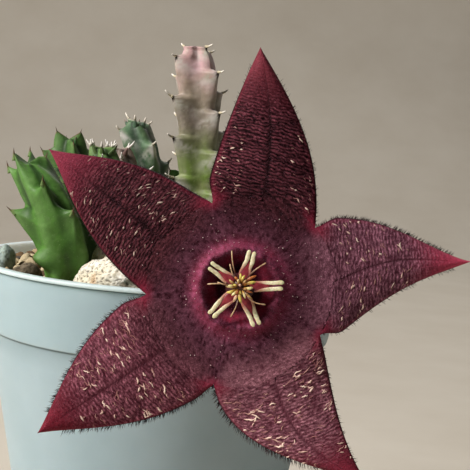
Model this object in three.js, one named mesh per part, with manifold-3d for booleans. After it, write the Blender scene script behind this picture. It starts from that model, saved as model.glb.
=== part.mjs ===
// A potted stapelia in flower: a round plastic nursery pot, gritty soil, loose stones, a clump of
// four-angled succulent stems and one five-lobed star flower that hangs over the rim.
// Millimetres, +Z up. The origin is the middle of the pot's flat underside, and -Y is the front.

import * as THREE from "three";
import { mergeVertices } from "three/addons/utils/BufferGeometryUtils.js";
import Module from "manifold-3d";

const wasm = await Module();
wasm.setup();

const DEG = Math.PI / 180;
const TURN = 2 * Math.PI;
const CLEARANCE = 0.35;
const WELD = 1e-4;

// Pot
const POT_HEIGHT = 50;
const POT_RIM_RADIUS = 27.5;
const POT_TAPER = 0.193;
const LIP_HEIGHT = 0.6;
const LIP_REACH = 0.35;
const BAND_HEIGHT = 9.8;
const BAND_STEP = 0.4;
const WALL = 0.6;
const EDGE_ROUND = 0.2;
const BASE_THICKNESS = 1.3;
const FOOT_CHAMFER = 0.8;
const POT_SIDES = 48;
const DRAIN_HOLES = 6;
const DRAIN_SIDES = 12;
const DRAIN_RADIUS = 2.2;
const DRAIN_CIRCLE = 10.5;

// Soil
const SOIL_LEVEL = 48.0;
const SOIL_MOUND = 0.7;
const SOIL_RELIEF = 0.5;
const SOIL_GRAIN = 2.6;
const SOIL_FINE_GRAIN = 1.25;
const SOIL_SHOULDER = 1.5;
const SOIL_EDGE = 0.25;
const SOIL_SIDES = 32;
const SOIL_RINGS = 6;

// Flower: the middle of its face, how far it is pitched up from facing +Z, and its sizes
const FLOWER_CENTRE = [11.5, -36, 52.2];
const FLOWER_PITCH = 81.5 * DEG;
const PETAL_THICKNESS = 0.9;
const ANNULUS_RADIUS = 4.75;
const ANNULUS_WIDTH = 0.7;
const ANNULUS_HEIGHT = 0.85;
const PIT_FLOOR = -1.1;
const CUP_DEPTH = 3.2;
const CUP_RADIUS = 5.4;
const EDGE_DROP = 1.3;
const CREASE_DEPTH = 0.5;
const CREASE_WIDTH = 0.3;
const WRINKLE_HEIGHT = 0.13;
const TIP_THINNING = 0.25;
const PETAL_TIP = 0.985;

// Each lobe: direction of its base; length and half width; how full its sides are and how fine its
// nose is; sideways sway of its tip and the power it grows by; sideways arch of its middle; lift of
// its tip to the front; and the direction and radius of the notch on its far side.
const LOBES = [
  {
    angle: 8, length: 28.6, half: 7.7, full: 1.26, nose: 0.41,
    sway: 1.4, bend: 5, arch: 2.1, lift: -1.2, notch: [43.0, 11.8],
  },
  {
    angle: 79, length: 29.4, half: 6.9, full: 2.0, nose: 0.09,
    sway: 5.2, bend: 1, arch: -1.0, lift: -0.8, notch: [111.6, 10.9],
  },
  {
    angle: 151, length: 29.2, half: 6.7, full: 3.3, nose: 0.6,
    sway: -1.7, bend: 1, arch: 0, lift: -2.2, notch: [187.1, 11.3],
  },
  {
    angle: 222.5, length: 29.8, half: 7.4, full: 2.9, nose: 0.51,
    sway: -1.6, bend: 1.1, arch: 0, lift: 0.8, notch: [258.8, 11.9],
  },
  {
    angle: 295, length: 26.9, half: 7.2, full: 2.1, nose: 0.23,
    sway: 5.9, bend: 2.2, arch: -0.7, lift: 0.4, notch: [334.3, 11.2],
  },
];
const LOBE_ROWS = 18;
const LOBE_COLUMNS = 8;
const DISC_RADII = [0, 1.7, 3.3, 4.1, ANNULUS_RADIUS, 5.4, 6.2, 8.2];

// Corona: a boss in the pit with five forked straps, and a head with five horns and ten blades.
// Each strap, prong, horn and blade is a row of places: distance from the middle, distance aside
// and height above its own ring, with half its width there.
const CORONA_TURN = 7 * DEG;
const CORONA_LEVEL = 1.35;
const CORONA_HALF_THICKNESS = 0.3;
const BOSS_TOP_RADIUS = 1.9;
const BOSS_FOOT_RADIUS = 1.3;
const BOSS_SIDES = 15;
const STRAP = [[0.9, 0, -0.3, 0.6], [2.4, 0, -0.3, 0.85], [3.7, 0, 0.1, 0.8]];
const PRONG = [[1.5, 0.35, 0, 0.3], [3.3, 0.52, 0.1, 0.42], [4.9, 0.62, 0.35, 0.36]];
const HEAD_RADIUS = 1.15;
const HEAD_FLATNESS = 0.6;
const HEAD_GAP = 0.4;
const HORN = [[0.5, 0, 0.5, 0.3], [1.7, 0, 1.1, 0.3], [3.0, 0, 1.3, 0.25], [4.0, 0, 0.8, 0.3]];
const BLADE = [[0.4, 0, 0.7, 0.25], [1.1, 0, 1.1, 0.3], [1.95, 0, 1.0, 0.2]];
const BLADES = 10;

// Flower stalk, from the calyx over the rim to the side of the flowering stem
const STALK_RADIUS = 1.05;
const STALK_ROUTE = [
  [11.5, -31.9, 51.55],
  [11.4, -29.5, 52.2],
  [10.9, -26.4, 52.7],
  [9.9, -23, 52.5],
  [8.6, -19.6, 51.8],
  [7.0, -16.2, 51.2],
  [6.2, -13.6, 51.0],
];
const STALK_STEPS = 12;

// Calyx behind the flower: the end of the stalk and one sepal, as distance from the flower's
// middle, height, half width and half thickness
const CALYX_TOP = [CUP_DEPTH + 0.3, 1.9];
const CALYX_FOOT = [CUP_DEPTH + 1.6, 1.2];
const SEPAL = [
  [0.8, -4.1, 0.6, 0.4],
  [2.6, -3.9, 0.85, 0.35],
  [4.6, -2.9, 0.68, 0.35],
  [6.7, -2.2, 0.2, 0.3],
];

// Stems: the middle of the foot and of the top, the sideways bow half way up, core radius, turn of
// the four angles, height of the first teeth, distance between the teeth of one angle, how far each
// angle's teeth are shifted along it as a share of that distance, and the kind of tooth. A stem may
// list its teeth instead: height, direction round the stem, how far the tip stands out and rises.
const STEM_FOOT = 44.5;
const STEMS = {
  stem_tall_grey: {
    foot: [5.0, 5.0, STEM_FOOT], top: [2.6, 5.0, 82.2], bow: [0.6, 0, 0], radius: 3.25,
    turn: 42, first: 6.2, pitch: 5.9, shift: [0.25, 0.5, 0, 0.72], tooth: "ledge",
  },
  stem_left_green: {
    foot: [-12.3, -16.0, STEM_FOOT], top: [-18.0, -15.8, 64.2], bow: [2.0, 0, 0], radius: 3.4,
    turn: -20, tooth: "cone",
    teeth: [
      [7, 220, 2.1, 0.6], [12, 190, 3.0, 1.6], [17, 160, 1.3, 2.4],
      [15, 280, 1.7, 3.5], [19, 220, 0.4, 2.4], [12, 310, 2.4, 2.4],
      [19, 40, 0.9, 2.0], [10, 70, 2.0, 0.8], [16, 70, 1.6, 1.5], [18, 100, 1.5, 3.8],
    ],
  },
  stem_left_rear: {
    foot: [-11.2, -6.9, STEM_FOOT], top: [-16.4, -5.3, 63.2], bow: [1.2, 0, 0], radius: 2.8,
    turn: 20, first: 7.0, pitch: 6.0, shift: [0, 0.5, 0, 0.5], tooth: "horn",
  },
  stem_back_left: {
    foot: [-13.4, 5.8, STEM_FOOT], top: [-15.5, 5.0, 67.0], bow: [0.4, 0.4, 0], radius: 2.5,
    turn: 18, first: 7.2, pitch: 5.8, shift: [0, 0.5, 0, 0.5], tooth: "horn",
  },
  stem_middle_short: {
    foot: [-6.2, -1.8, STEM_FOOT], top: [-9.8, -1.4, 66.3], bow: [0.9, 0, 0], radius: 2.4,
    turn: 0, first: 7.0, pitch: 5.4, shift: [0, 0.5, 0, 0.5], tooth: "spur",
  },
  stem_middle_purple: {
    foot: [-4.6, 5.6, STEM_FOOT], top: [-7.9, 6.2, 66.0], bow: [0.8, 0, 0], radius: 2.2,
    turn: 5, first: 7.0, pitch: 5.6, shift: [0, 0.5, 0, 0.5], tooth: "spur",
  },
  stem_middle_dark: {
    foot: [-0.8, 12.2, STEM_FOOT], top: [-6.4, 12.0, 70.2], bow: [1.0, 0, 0], radius: 2.75,
    turn: 33, first: 6.6, pitch: 5.8, shift: [0.2, 0.5, 0, 0.7], tooth: "spur",
  },
  stem_rear_small: {
    foot: [2.2, 18.2, STEM_FOOT], top: [1.4, 18.0, 62.4], bow: [0.2, 0, 0], radius: 2.1,
    turn: 25, first: 7.0, pitch: 5.4, shift: [0, 0.5, 0, 0.5], tooth: "horn",
  },
  stem_flowering: {
    foot: [6.0, -13.4, STEM_FOOT], top: [6.3, -13.0, 60.0], bow: [0.2, 0.3, 0], radius: 2.7,
    turn: 60, first: 7.0, pitch: 5.4, shift: [0, 0.5, 0, 0.5], tooth: "spur",
  },
};

// Kinds of tooth: how far below its tip it leaves the stem and how hollow that slope is, how thick
// its shoulder is, how far it stretches round the stem, how steeply its point rises, and how far the
// tip stands out and rises where a stem doesn't list its teeth.
const TEETH = {
  ledge: { drop: 5.2, flare: 1.3, shoulder: 1.0, spread: 55, steep: 2, reach: 1.75, rise: 0.2 },
  horn: { drop: 5.2, flare: 1.4, shoulder: 1.8, spread: 50, steep: 1.5, reach: 2.0, rise: 2.4 },
  cone: { drop: 4.4, flare: 1.1, shoulder: 2.0, spread: 44, steep: 1.2 },
  spur: { drop: 4.6, flare: 1.6, shoulder: 1.1, spread: 50, steep: 2, reach: 1.6, rise: 1.0 },
};
const STEM_SIDES = 12;
const STEM_STEP = 1.0;
const STEM_ANGULARITY = 0.12;
const SOIL_MARGIN = 5.2;
const WAIST = 0.72;
const WAIST_START = 2.5;
const WAIST_RUN = 6;
const TAPER = 0.88;
const CROWN = 4.2;
const CROWN_REACH = CROWN + 0.4;
const CROWN_FLAT = 0.2;
const CROWN_CROWDING = 0.5;
const CROWN_TOOTH_REACH = 0.4;
const CROWN_TOOTH_RISE = 0.6;
const TOOTH_POINT = 1.3;
const STEM_JITTER = 0.12;

// Stones: middle, half sizes, turn about Z and seed
const STONES = {
  pumice_lump: { at: [-3.7, -20.2, 48.9], half: [7.4, 4.0, 4.4], turn: 0, seed: 251, detail: 2 },
  pale_pebble: { at: [-6.9, -11.8, 50.2], half: [2.6, 2.3, 4.2], turn: 40, seed: 11 },
  brown_pebble: { at: [-18.2, -12.2, 48.5], half: [2.7, 2.0, 1.7], turn: 60, seed: 5 },
  dark_pebble: { at: [-22.3, -6.0, 49.5], half: [1.5, 2.0, 2.4], turn: 0, seed: 8 },
  right_stone: { at: [16.0, -9.8, 49.0], half: [4.4, 3.4, 2.8], turn: 70, seed: 21 },
  back_stone: { at: [11.4, 14.6, 48.8], half: [4.0, 3.0, 2.4], turn: 25, seed: 34 },
  side_pebble: { at: [18.2, 3.2, 48.4], half: [2.6, 3.2, 1.9], turn: 110, seed: 55 },
  rear_pebble: { at: [-9.6, 18.2, 48.4], half: [3.0, 2.4, 2.0], turn: 150, seed: 13 },
  middle_pebble: { at: [0.4, -4.6, 49.0], half: [2.2, 2.6, 1.9], turn: 20, seed: 44 },
};
const STONE_ROUGHNESS = 0.16;
const STONE_BUMPS = 1.7;
const POCKET_GAP = CLEARANCE + 0.1;

// Colours measured by eye from the photograph
const PAINT = {
  pot: [0x9fb2b2, 0.55],
  soil: [0x6f5b46, 1.0],
  pumice: [0xd8c6a2, 0.95],
  brown_stone: [0x7d6a58, 0.95],
  dark_stone: [0x4c5353, 0.8],
  green_stem: [0x3f7a35, 0.6],
  dark_stem: [0x35583c, 0.65],
  grey_stem: [0x857a72, 0.75],
  petal: [0x5b1f2f, 0.7],
  cream: [0xdccf9a, 0.5],
  yellow: [0xcfae5a, 0.5],
};

// Vectors and curves

function vector(x, y, z) {
  return new THREE.Vector3(x, y, z);
}

function mix(a, b, t) {
  return a + (b - a) * t;
}

function smooth(t) {
  const c = Math.min(1, Math.max(0, t));
  return c * c * (3 - 2 * c);
}

function bell(x, middle, width) {
  return Math.exp(-(((x - middle) / width) ** 2));
}

// A repeatable value from 0 to 1 for one point of an integer lattice.
function lattice(x, y, z, seed) {
  let h = Math.imul(x, 374761393) + Math.imul(y, 668265263) + Math.imul(z, 2147483647 ^ seed);
  h = Math.imul(h ^ (h >>> 13), 1274126177) + Math.imul(seed, 97);
  h = Math.imul(h ^ (h >>> 16), 2246822519);
  return ((h ^ (h >>> 15)) >>> 0) / 4294967296;
}

// Smooth noise from -1 to 1.
function noise(x, y, z, seed) {
  const corner = [Math.floor(x), Math.floor(y), Math.floor(z)];
  const part = [x - corner[0], y - corner[1], z - corner[2]].map(smooth);
  let sum = 0;
  for (let i = 0; i < 8; i++) {
    const step = [i & 1, (i >> 1) & 1, (i >> 2) & 1];
    const weight = step.reduce((w, s, axis) => w * (s ? part[axis] : 1 - part[axis]), 1);
    sum += weight * lattice(corner[0] + step[0], corner[1] + step[1], corner[2] + step[2], seed);
  }
  return 2 * sum - 1;
}

// Solids

function geometryOf(points, faces) {
  const made = new THREE.BufferGeometry();
  made.setAttribute("position", new THREE.Float32BufferAttribute(points.flatMap((p) => [p.x, p.y, p.z]), 3));
  made.setIndex(faces.flat());
  return made;
}

function toSolid(geometry) {
  const bare = geometry.clone();
  bare.deleteAttribute("normal");
  bare.deleteAttribute("uv");
  const merged = mergeVertices(bare, WELD);
  const mesh = { numProp: 3, vertProperties: merged.attributes.position.array };
  const triangles = new Uint32Array(merged.index.array);
  const made = new wasm.Manifold(new wasm.Mesh({ ...mesh, triVerts: triangles }));
  if (made.volume() > 0) return made;
  return new wasm.Manifold(new wasm.Mesh({ ...mesh, triVerts: triangles.reverse() }));
}

function toGeometry(solid) {
  const mesh = solid.getMesh();
  const made = new THREE.BufferGeometry();
  made.setAttribute("position", new THREE.Float32BufferAttribute(mesh.vertProperties, 3));
  made.setIndex(new THREE.BufferAttribute(mesh.triVerts, 1));
  return made;
}

function fused(solids) {
  return solids.reduce((all, one) => all.add(one));
}

// A closed skin over rings of equal length, with a fan over each end.
function loft(rings) {
  const sides = rings[0].length;
  const points = rings.flat();
  const faces = [];
  for (let r = 0; r + 1 < rings.length; r++)
    for (let i = 0; i < sides; i++) {
      const j = (i + 1) % sides;
      const [a, b, c, d] = [r * sides + i, r * sides + j, (r + 1) * sides + j, (r + 1) * sides + i];
      faces.push([a, b, c], [a, c, d]);
    }
  for (const [ring, start, flip] of [
    [rings[0], 0, true],
    [rings.at(-1), (rings.length - 1) * sides, false],
  ]) {
    const middle = points.length;
    points.push(ring.reduce((sum, p) => sum.add(p), vector(0, 0, 0)).divideScalar(sides));
    for (let i = 0; i < sides; i++) {
      const j = (i + 1) % sides;
      faces.push(flip ? [middle, start + j, start + i] : [middle, start + i, start + j]);
    }
  }
  return toSolid(geometryOf(points, faces));
}

// Rings of an ellipse along a route: widths gives each ring's half size across and half size in
// the direction of the flat vector.
function tube(route, widths, sides, flat = vector(0, 0, 1)) {
  const rings = route.map((point, i) => {
    const before = route[Math.max(0, i - 1)];
    const after = route[Math.min(route.length - 1, i + 1)];
    const along = after.clone().sub(before).normalize();
    const across = along.clone().cross(flat).normalize();
    const up = across.clone().cross(along).normalize();
    const [wide, tall] = Array.isArray(widths[i]) ? widths[i] : [widths[i], widths[i]];
    return Array.from({ length: sides }, (_, k) => {
      const t = (TURN * k) / sides;
      return point
        .clone()
        .addScaledVector(across, wide * Math.cos(t))
        .addScaledVector(up, tall * Math.sin(t));
    });
  });
  return loft(rings);
}

// Pot

function bandRadius(z) {
  return POT_RIM_RADIUS - LIP_REACH - POT_TAPER * (POT_HEIGHT - z);
}

function innerRadius(z) {
  return bandRadius(z) - BAND_STEP - WALL;
}

function makePot() {
  const bandFoot = POT_HEIGHT - BAND_HEIGHT;
  const lipFoot = POT_HEIGHT - LIP_HEIGHT;
  const footRadius = bandRadius(0) - BAND_STEP;
  const profile = [
    [0, 0],
    [footRadius - FOOT_CHAMFER, 0],
    [footRadius, FOOT_CHAMFER],
    [bandRadius(bandFoot) - BAND_STEP, bandFoot - EDGE_ROUND],
    [bandRadius(bandFoot), bandFoot],
    [bandRadius(lipFoot), lipFoot],
    [POT_RIM_RADIUS, lipFoot + EDGE_ROUND],
    [POT_RIM_RADIUS, POT_HEIGHT - EDGE_ROUND],
    [POT_RIM_RADIUS - EDGE_ROUND, POT_HEIGHT],
    [innerRadius(POT_HEIGHT) + EDGE_ROUND, POT_HEIGHT],
    [innerRadius(POT_HEIGHT), POT_HEIGHT - EDGE_ROUND],
    [innerRadius(BASE_THICKNESS), BASE_THICKNESS],
    [0, BASE_THICKNESS],
  ].map(([r, z]) => new THREE.Vector2(r, z));
  const body = new THREE.LatheGeometry(profile, POT_SIDES).rotateX(90 * DEG);
  const holes = Array.from({ length: DRAIN_HOLES }, (_, i) => {
    const t = (TURN * (i + 0.5)) / DRAIN_HOLES;
    return toSolid(
      new THREE.CylinderGeometry(DRAIN_RADIUS, DRAIN_RADIUS, 4 * BASE_THICKNESS, DRAIN_SIDES)
        .rotateX(90 * DEG)
        .translate(DRAIN_CIRCLE * Math.cos(t), DRAIN_CIRCLE * Math.sin(t), 0),
    );
  });
  return holes.reduce((pot, hole) => pot.subtract(hole), toSolid(body));
}

// Soil and stones

function soilHeight(x, y) {
  const out = Math.hypot(x, y) / innerRadius(SOIL_LEVEL);
  const grain = noise(x / SOIL_GRAIN, y / SOIL_GRAIN, 0.5, 7);
  const fine = noise(x / SOIL_FINE_GRAIN, y / SOIL_FINE_GRAIN, 4.5, 9);
  return SOIL_LEVEL + SOIL_MOUND * (1 - out * out) + SOIL_RELIEF * (grain + 0.5 * fine);
}

function makeSoil(cuts) {
  const foot = BASE_THICKNESS + CLEARANCE;
  const rings = [];
  for (const [z, share] of [
    [foot, 0.5],
    [foot, 1],
    [SOIL_LEVEL - SOIL_SHOULDER, 1],
  ])
    rings.push(soilRing(share * (innerRadius(z) - CLEARANCE), () => z));
  const edge = innerRadius(SOIL_LEVEL) - CLEARANCE - SOIL_EDGE;
  for (let i = SOIL_RINGS; i > 0; i--) rings.push(soilRing((edge * i) / SOIL_RINGS, soilHeight));
  return cuts.reduce((soil, cut) => soil.subtract(cut), loft(rings));
}

function soilRing(radius, height) {
  return Array.from({ length: SOIL_SIDES }, (_, i) => {
    const t = (TURN * i) / SOIL_SIDES;
    const [x, y] = [radius * Math.cos(t), radius * Math.sin(t)];
    return vector(x, y, height(x, y));
  });
}

function makeStone({ at, half, turn, seed, detail = 1 }, grow = 0) {
  const bare = new THREE.IcosahedronGeometry(1, detail).deleteAttribute("normal").deleteAttribute("uv");
  const ball = mergeVertices(bare, WELD);
  const place = ball.attributes.position;
  for (let i = 0; i < place.count; i++) {
    const p = vector(place.getX(i), place.getY(i), place.getZ(i));
    const spot = p.clone().multiplyScalar(STONE_BUMPS);
    const rough = 1 + STONE_ROUGHNESS * noise(spot.x + 5, spot.y + 5, spot.z + 5, seed);
    p.multiply(vector(half[0] + grow, half[1] + grow, half[2] + grow)).multiplyScalar(rough);
    place.setXYZ(i, p.x, p.y, p.z);
  }
  return toSolid(ball.rotateZ(turn * DEG).translate(...at));
}

// Stems

// The level direction at an angle in degrees from +X.
function outward(angle) {
  return vector(Math.cos(angle * DEG), Math.sin(angle * DEG), 0);
}

// The stem's middle line by the height above its foot.
function stemLine({ foot, top, bow }) {
  const [from, to] = [vector(...foot), vector(...top)];
  const length = to.z - from.z;
  const along = to.clone().sub(from).normalize();
  const at = (h) => {
    const t = h / length;
    return from.clone().lerp(to, t).addScaledVector(vector(...bow), 4 * t * (1 - t));
  };
  return { length, along, at };
}

// Narrow at the soil, full above it, slowly tapering and rounded off at the crown.
function coreRadius(stem, h, length) {
  const waist = mix(WAIST, 1, smooth((h - WAIST_START) / WAIST_RUN));
  const past = Math.max(0, (h - length + CROWN) / CROWN_REACH);
  const crown = Math.sqrt(Math.max(CROWN_FLAT, 1 - past ** 2));
  return stem.radius * waist * crown * mix(1, TAPER, h / length);
}

// Teeth stand on the four angles in pairs, closer together and lower towards the crown.
function teethOf(stem, length) {
  if (stem.teeth) return stem.teeth.map(([height, around, reach, rise]) => ({ height, around, reach, rise }));
  const kind = TEETH[stem.tooth];
  const teeth = [];
  stem.shift.forEach((shift, angle) => {
    let h = stem.first + shift * stem.pitch;
    for (let k = 0; h < length + STEM_STEP / 2; k++) {
      const size = 1 + STEM_JITTER * noise(k + 0.5, angle + 0.5, stem.pitch, 17);
      const nearTop = smooth((h - length + 2 * CROWN) / (2 * CROWN));
      const onCrown = smooth((h - length + CROWN) / CROWN);
      const height = Math.min(length, Math.round(h / STEM_STEP) * STEM_STEP);
      teeth.push({
        height,
        around: 90 * angle + stem.turn,
        reach: kind.reach * size * mix(1, CROWN_TOOTH_REACH, onCrown),
        rise: kind.rise * size * size * mix(1, CROWN_TOOTH_RISE, nearTop),
      });
      h += stem.pitch * mix(1, CROWN_CROWDING, nearTop);
    }
  });
  return teeth;
}

// Share of a tooth at one height and direction of the stem's skin: 1 at its tip and 0 outside it.
function toothShare(tooth, kind, h, around) {
  const below = Math.max(0, 1 + (h - tooth.height) / kind.drop) ** kind.flare;
  const above = 1 - (h - tooth.height) / kind.shoulder;
  const gap = Math.abs(((around - tooth.around + 900) % 360) - 180) / kind.spread;
  const aside = Math.max(0, 1 - gap) ** TOOTH_POINT;
  return Math.max(0, Math.min(below, above)) * aside * smooth((h - SOIL_MARGIN) / (1.5 * STEM_STEP));
}

function stemPoint(stem, line, teeth, h, angle) {
  const kind = TEETH[stem.tooth];
  const angular = 1 + STEM_ANGULARITY * Math.cos(4 * angle * DEG);
  const radius = coreRadius(stem, h, line.length) * angular;
  const point = line.at(h).addScaledVector(outward(angle + stem.turn), radius);
  for (const tooth of teeth) {
    const share = toothShare(tooth, kind, h, angle + stem.turn);
    point.addScaledVector(outward(tooth.around), tooth.reach * share);
    point.addScaledVector(line.along, tooth.rise * share ** kind.steep);
  }
  return point;
}

function makeStem(stem) {
  const line = stemLine(stem);
  const teeth = teethOf(stem, line.length);
  const heights = [0, SOIL_MARGIN / 2, SOIL_MARGIN - 0.7];
  for (let h = Math.ceil(SOIL_MARGIN); h < line.length - 0.5 * STEM_STEP; h += STEM_STEP) heights.push(h);
  heights.push(line.length);
  const rings = heights.map((h) =>
    Array.from({ length: STEM_SIDES }, (_, i) => stemPoint(stem, line, teeth, h, (360 * i) / STEM_SIDES)),
  );
  return loft(rings);
}

// The plain hole in the soil that a stem stands in.
function stemHole(stem) {
  const line = stemLine(stem);
  const radius = coreRadius(stem, SOIL_MARGIN, line.length) * (1 + STEM_ANGULARITY) + CLEARANCE;
  const rings = [-CLEARANCE, SOIL_MARGIN / 2, SOIL_MARGIN + 1].map((h) => {
    return Array.from({ length: STEM_SIDES }, (_, i) =>
      line.at(h).addScaledVector(outward((360 * i) / STEM_SIDES + stem.turn), radius),
    );
  });
  return loft(rings);
}

// Flower, built facing +Z about its own middle

// Height of the petals' front face, and of their back, by distance from the middle.
function discFront(radius) {
  const pit = PIT_FLOOR * (1 - smooth((radius - 2.6) / 2));
  return pit + ANNULUS_HEIGHT * bell(radius, ANNULUS_RADIUS, ANNULUS_WIDTH);
}

function discBack(radius) {
  return -PETAL_THICKNESS - (CUP_DEPTH - PETAL_THICKNESS) * (1 - smooth(radius / CUP_RADIUS));
}

// A lobe's outline: a place at share f of the way from the notches to the tip, and s from -1 to 1
// across it. The notches on the two sides are given as angle from the lobe's base and radius.
function lobePoint(lobe, notches, f, s) {
  const [angle, radius] = notches[s > 0 ? 1 : 0];
  const middle = mix(radius, lobe.length, f);
  const edge = mix(radius * Math.cos(angle), lobe.length, f);
  const chord = Math.abs(radius * Math.sin(angle));
  const shape = (1 - f ** lobe.full) * (1 - lobe.nose * f * f);
  const half = mix(chord, lobe.half, smooth(f / 0.16)) * shape;
  const x = mix(middle, edge, s * s);
  const y = half * s + lobe.sway * f ** lobe.bend + lobe.arch * Math.sin(Math.PI * f);
  return [x, y];
}

// Alternate rows stand proud, as the wrinkles that run across a lobe do.
function lobeHeight(lobe, row, f, s) {
  const drop = EDGE_DROP * s * s * smooth(f / 0.3) * (1 - 0.4 * f);
  const crease = CREASE_DEPTH * bell(s, 0, CREASE_WIDTH) * smooth((f - 0.3) / 0.5) * (1 - f);
  const room = smooth(f / 0.15) * (1 - smooth((f - 0.75) / 0.2)) * (1 - s ** 4);
  const wrinkle = WRINKLE_HEIGHT * room * (row % 2 ? 1 : -1);
  return lobe.lift * f * f - drop - crease + wrinkle;
}

// Rows of points from the flower's middle to the lobe's tip, on the front and on the back.
function lobeRows(lobe, previous) {
  const notches = [previous, lobe].map(({ notch: [angle, radius] }) => {
    return [(((angle - lobe.angle + 540) % 360) - 180) * DEG, radius];
  });
  const [before, after] = notches;
  const across = Array.from({ length: LOBE_COLUMNS + 1 }, (_, j) => (2 * j) / LOBE_COLUMNS - 1);
  const turned = vector(0, 0, 1);
  const place = (x, y, z) => vector(x, y, z).applyAxisAngle(turned, lobe.angle * DEG);
  const front = [];
  const back = [];
  const addRow = (points, heights) => {
    front.push(points.map(([x, y], j) => place(x, y, heights[j][0])));
    back.push(points.map(([x, y], j) => place(x, y, heights[j][1])));
  };
  for (const radius of [...DISC_RADII, null]) {
    const points = across.map((s) => {
      const t = mix(before[0], after[0], (s + 1) / 2);
      const r = radius ?? mix(before[1], after[1], (s + 1) / 2);
      return [r * Math.cos(t), r * Math.sin(t)];
    });
    addRow(points, points.map(([x, y]) => [discFront(Math.hypot(x, y)), discBack(Math.hypot(x, y))]));
  }
  for (let row = 1; row <= LOBE_ROWS; row++) {
    const f = (PETAL_TIP * row) / LOBE_ROWS;
    const thickness = PETAL_THICKNESS * (1 - TIP_THINNING * f);
    const heights = across.map((s) => lobeHeight(lobe, row, f, s));
    addRow(across.map((s) => lobePoint(lobe, notches, f, s)), heights.map((z) => [z, z - thickness]));
  }
  return [front, back];
}

// The triangles of a lobe: both faces, split alike, and its free edge beyond the notches.
function lobeTriangles([front, back]) {
  const triangles = [];
  const half = LOBE_COLUMNS / 2;
  for (const [grid, flip] of [[front, false], [back, true]])
    for (let i = 0; i + 1 < grid.length; i++)
      for (let j = 0; j < LOBE_COLUMNS; j++) {
        const [a, b, c, d] = [grid[i][j], grid[i + 1][j], grid[i + 1][j + 1], grid[i][j + 1]];
        const pair = j < half ? [[a, b, c], [a, c, d]] : [[a, b, d], [b, c, d]];
        for (const [p, q, r] of pair) triangles.push(flip ? [p, r, q] : [p, q, r]);
      }
  const start = DISC_RADII.length;
  const upper = front.slice(start).map((row) => row[0]);
  const lower = back.slice(start).map((row) => row[0]);
  upper.push(...front.at(-1).slice(1), ...front.slice(start, -1).toReversed().map((row) => row.at(-1)));
  lower.push(...back.at(-1).slice(1), ...back.slice(start, -1).toReversed().map((row) => row.at(-1)));
  for (let i = 0; i + 1 < upper.length; i++) {
    triangles.push([upper[i], lower[i], lower[i + 1]]);
    triangles.push([upper[i], lower[i + 1], upper[i + 1]]);
  }
  return triangles;
}

function makeCorolla() {
  const triangles = LOBES.flatMap((lobe, k) => lobeTriangles(lobeRows(lobe, LOBES.at(k - 1))));
  const area = ([a, b, c]) => b.clone().sub(a).cross(c.clone().sub(a)).length();
  const points = triangles.filter((corners) => area(corners) > 1e-6).flat();
  return toSolid(geometryOf(points, points.map((_, i) => [i])));
}

// A slim piece along a row of places, at one angle round the flower's middle.
function ray(places, angle, level, sides, flip = 1, thickness = null) {
  const route = places.map(([out, aside, up]) => {
    const turned = vector(out, aside * flip, level + up);
    return turned.applyAxisAngle(vector(0, 0, 1), angle);
  });
  return tube(route, places.map(([, , , half]) => [half, thickness ?? half]), sides);
}

function makeOuterCorona() {
  const foot = PIT_FLOOR + 0.3;
  const boss = new THREE.CylinderGeometry(BOSS_TOP_RADIUS, BOSS_FOOT_RADIUS, CORONA_LEVEL - foot, BOSS_SIDES)
    .rotateX(90 * DEG)
    .translate(0, 0, (CORONA_LEVEL + foot) / 2);
  const solids = [toSolid(boss)];
  for (let i = 0; i < 5; i++) {
    const angle = CORONA_TURN + (TURN * i) / 5;
    solids.push(ray(STRAP, angle, CORONA_LEVEL, 6, 1, CORONA_HALF_THICKNESS));
    for (const side of [-1, 1]) solids.push(ray(PRONG, angle, CORONA_LEVEL, 5, side, CORONA_HALF_THICKNESS));
  }
  return fused(solids);
}

function makeInnerCorona() {
  const level = CORONA_LEVEL + HEAD_GAP;
  const head = new THREE.SphereGeometry(HEAD_RADIUS, 10, 6)
    .scale(1, 1, HEAD_FLATNESS)
    .translate(0, 0, level + HEAD_RADIUS / 2);
  const solids = [toSolid(head)];
  for (let i = 0; i < 5; i++) solids.push(ray(HORN, CORONA_TURN + (TURN * (i + 0.5)) / 5, level, 5));
  for (let i = 0; i < BLADES; i++)
    solids.push(ray(BLADE, CORONA_TURN + (TURN * (i + 0.25 * (i % 2))) / BLADES, level, 4));
  return fused(solids);
}

// The stalk and the five green sepals behind the flower, fused to the stem that bears them.
function makeFloweringStem(stem) {
  const route = STALK_ROUTE.map((p) => vector(...p));
  const curve = new THREE.CatmullRomCurve3(route).getPoints(STALK_STEPS);
  const stalk = tube(curve, curve.map(() => STALK_RADIUS), 8, vector(1, 0, 0));
  const ends = [CALYX_TOP, CALYX_FOOT];
  const calyx = [tube(ends.map(([z]) => vector(0, 0, -z)), ends.map(([, r]) => r), 10, vector(1, 0, 0))];
  for (const { notch } of LOBES) {
    const angle = notch[0] * DEG;
    const route = SEPAL.map(([out, up]) => vector(out * Math.cos(angle), out * Math.sin(angle), up));
    calyx.push(tube(route, SEPAL.map(([, , half, thick]) => [half, thick]), 6));
  }
  const placed = fused(calyx).transform(flowerMatrix().toArray());
  return fused([makeStem(stem), stalk, placed]);
}

function flowerMatrix() {
  return new THREE.Matrix4().makeRotationX(FLOWER_PITCH).setPosition(...FLOWER_CENTRE);
}

// Scene graph

function meshOf(name, solid, paint) {
  const [color, roughness] = PAINT[paint];
  const material = new THREE.MeshStandardMaterial({ color, roughness, metalness: 0 });
  const mesh = new THREE.Mesh(toGeometry(solid), material);
  mesh.name = name;
  return mesh;
}

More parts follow.
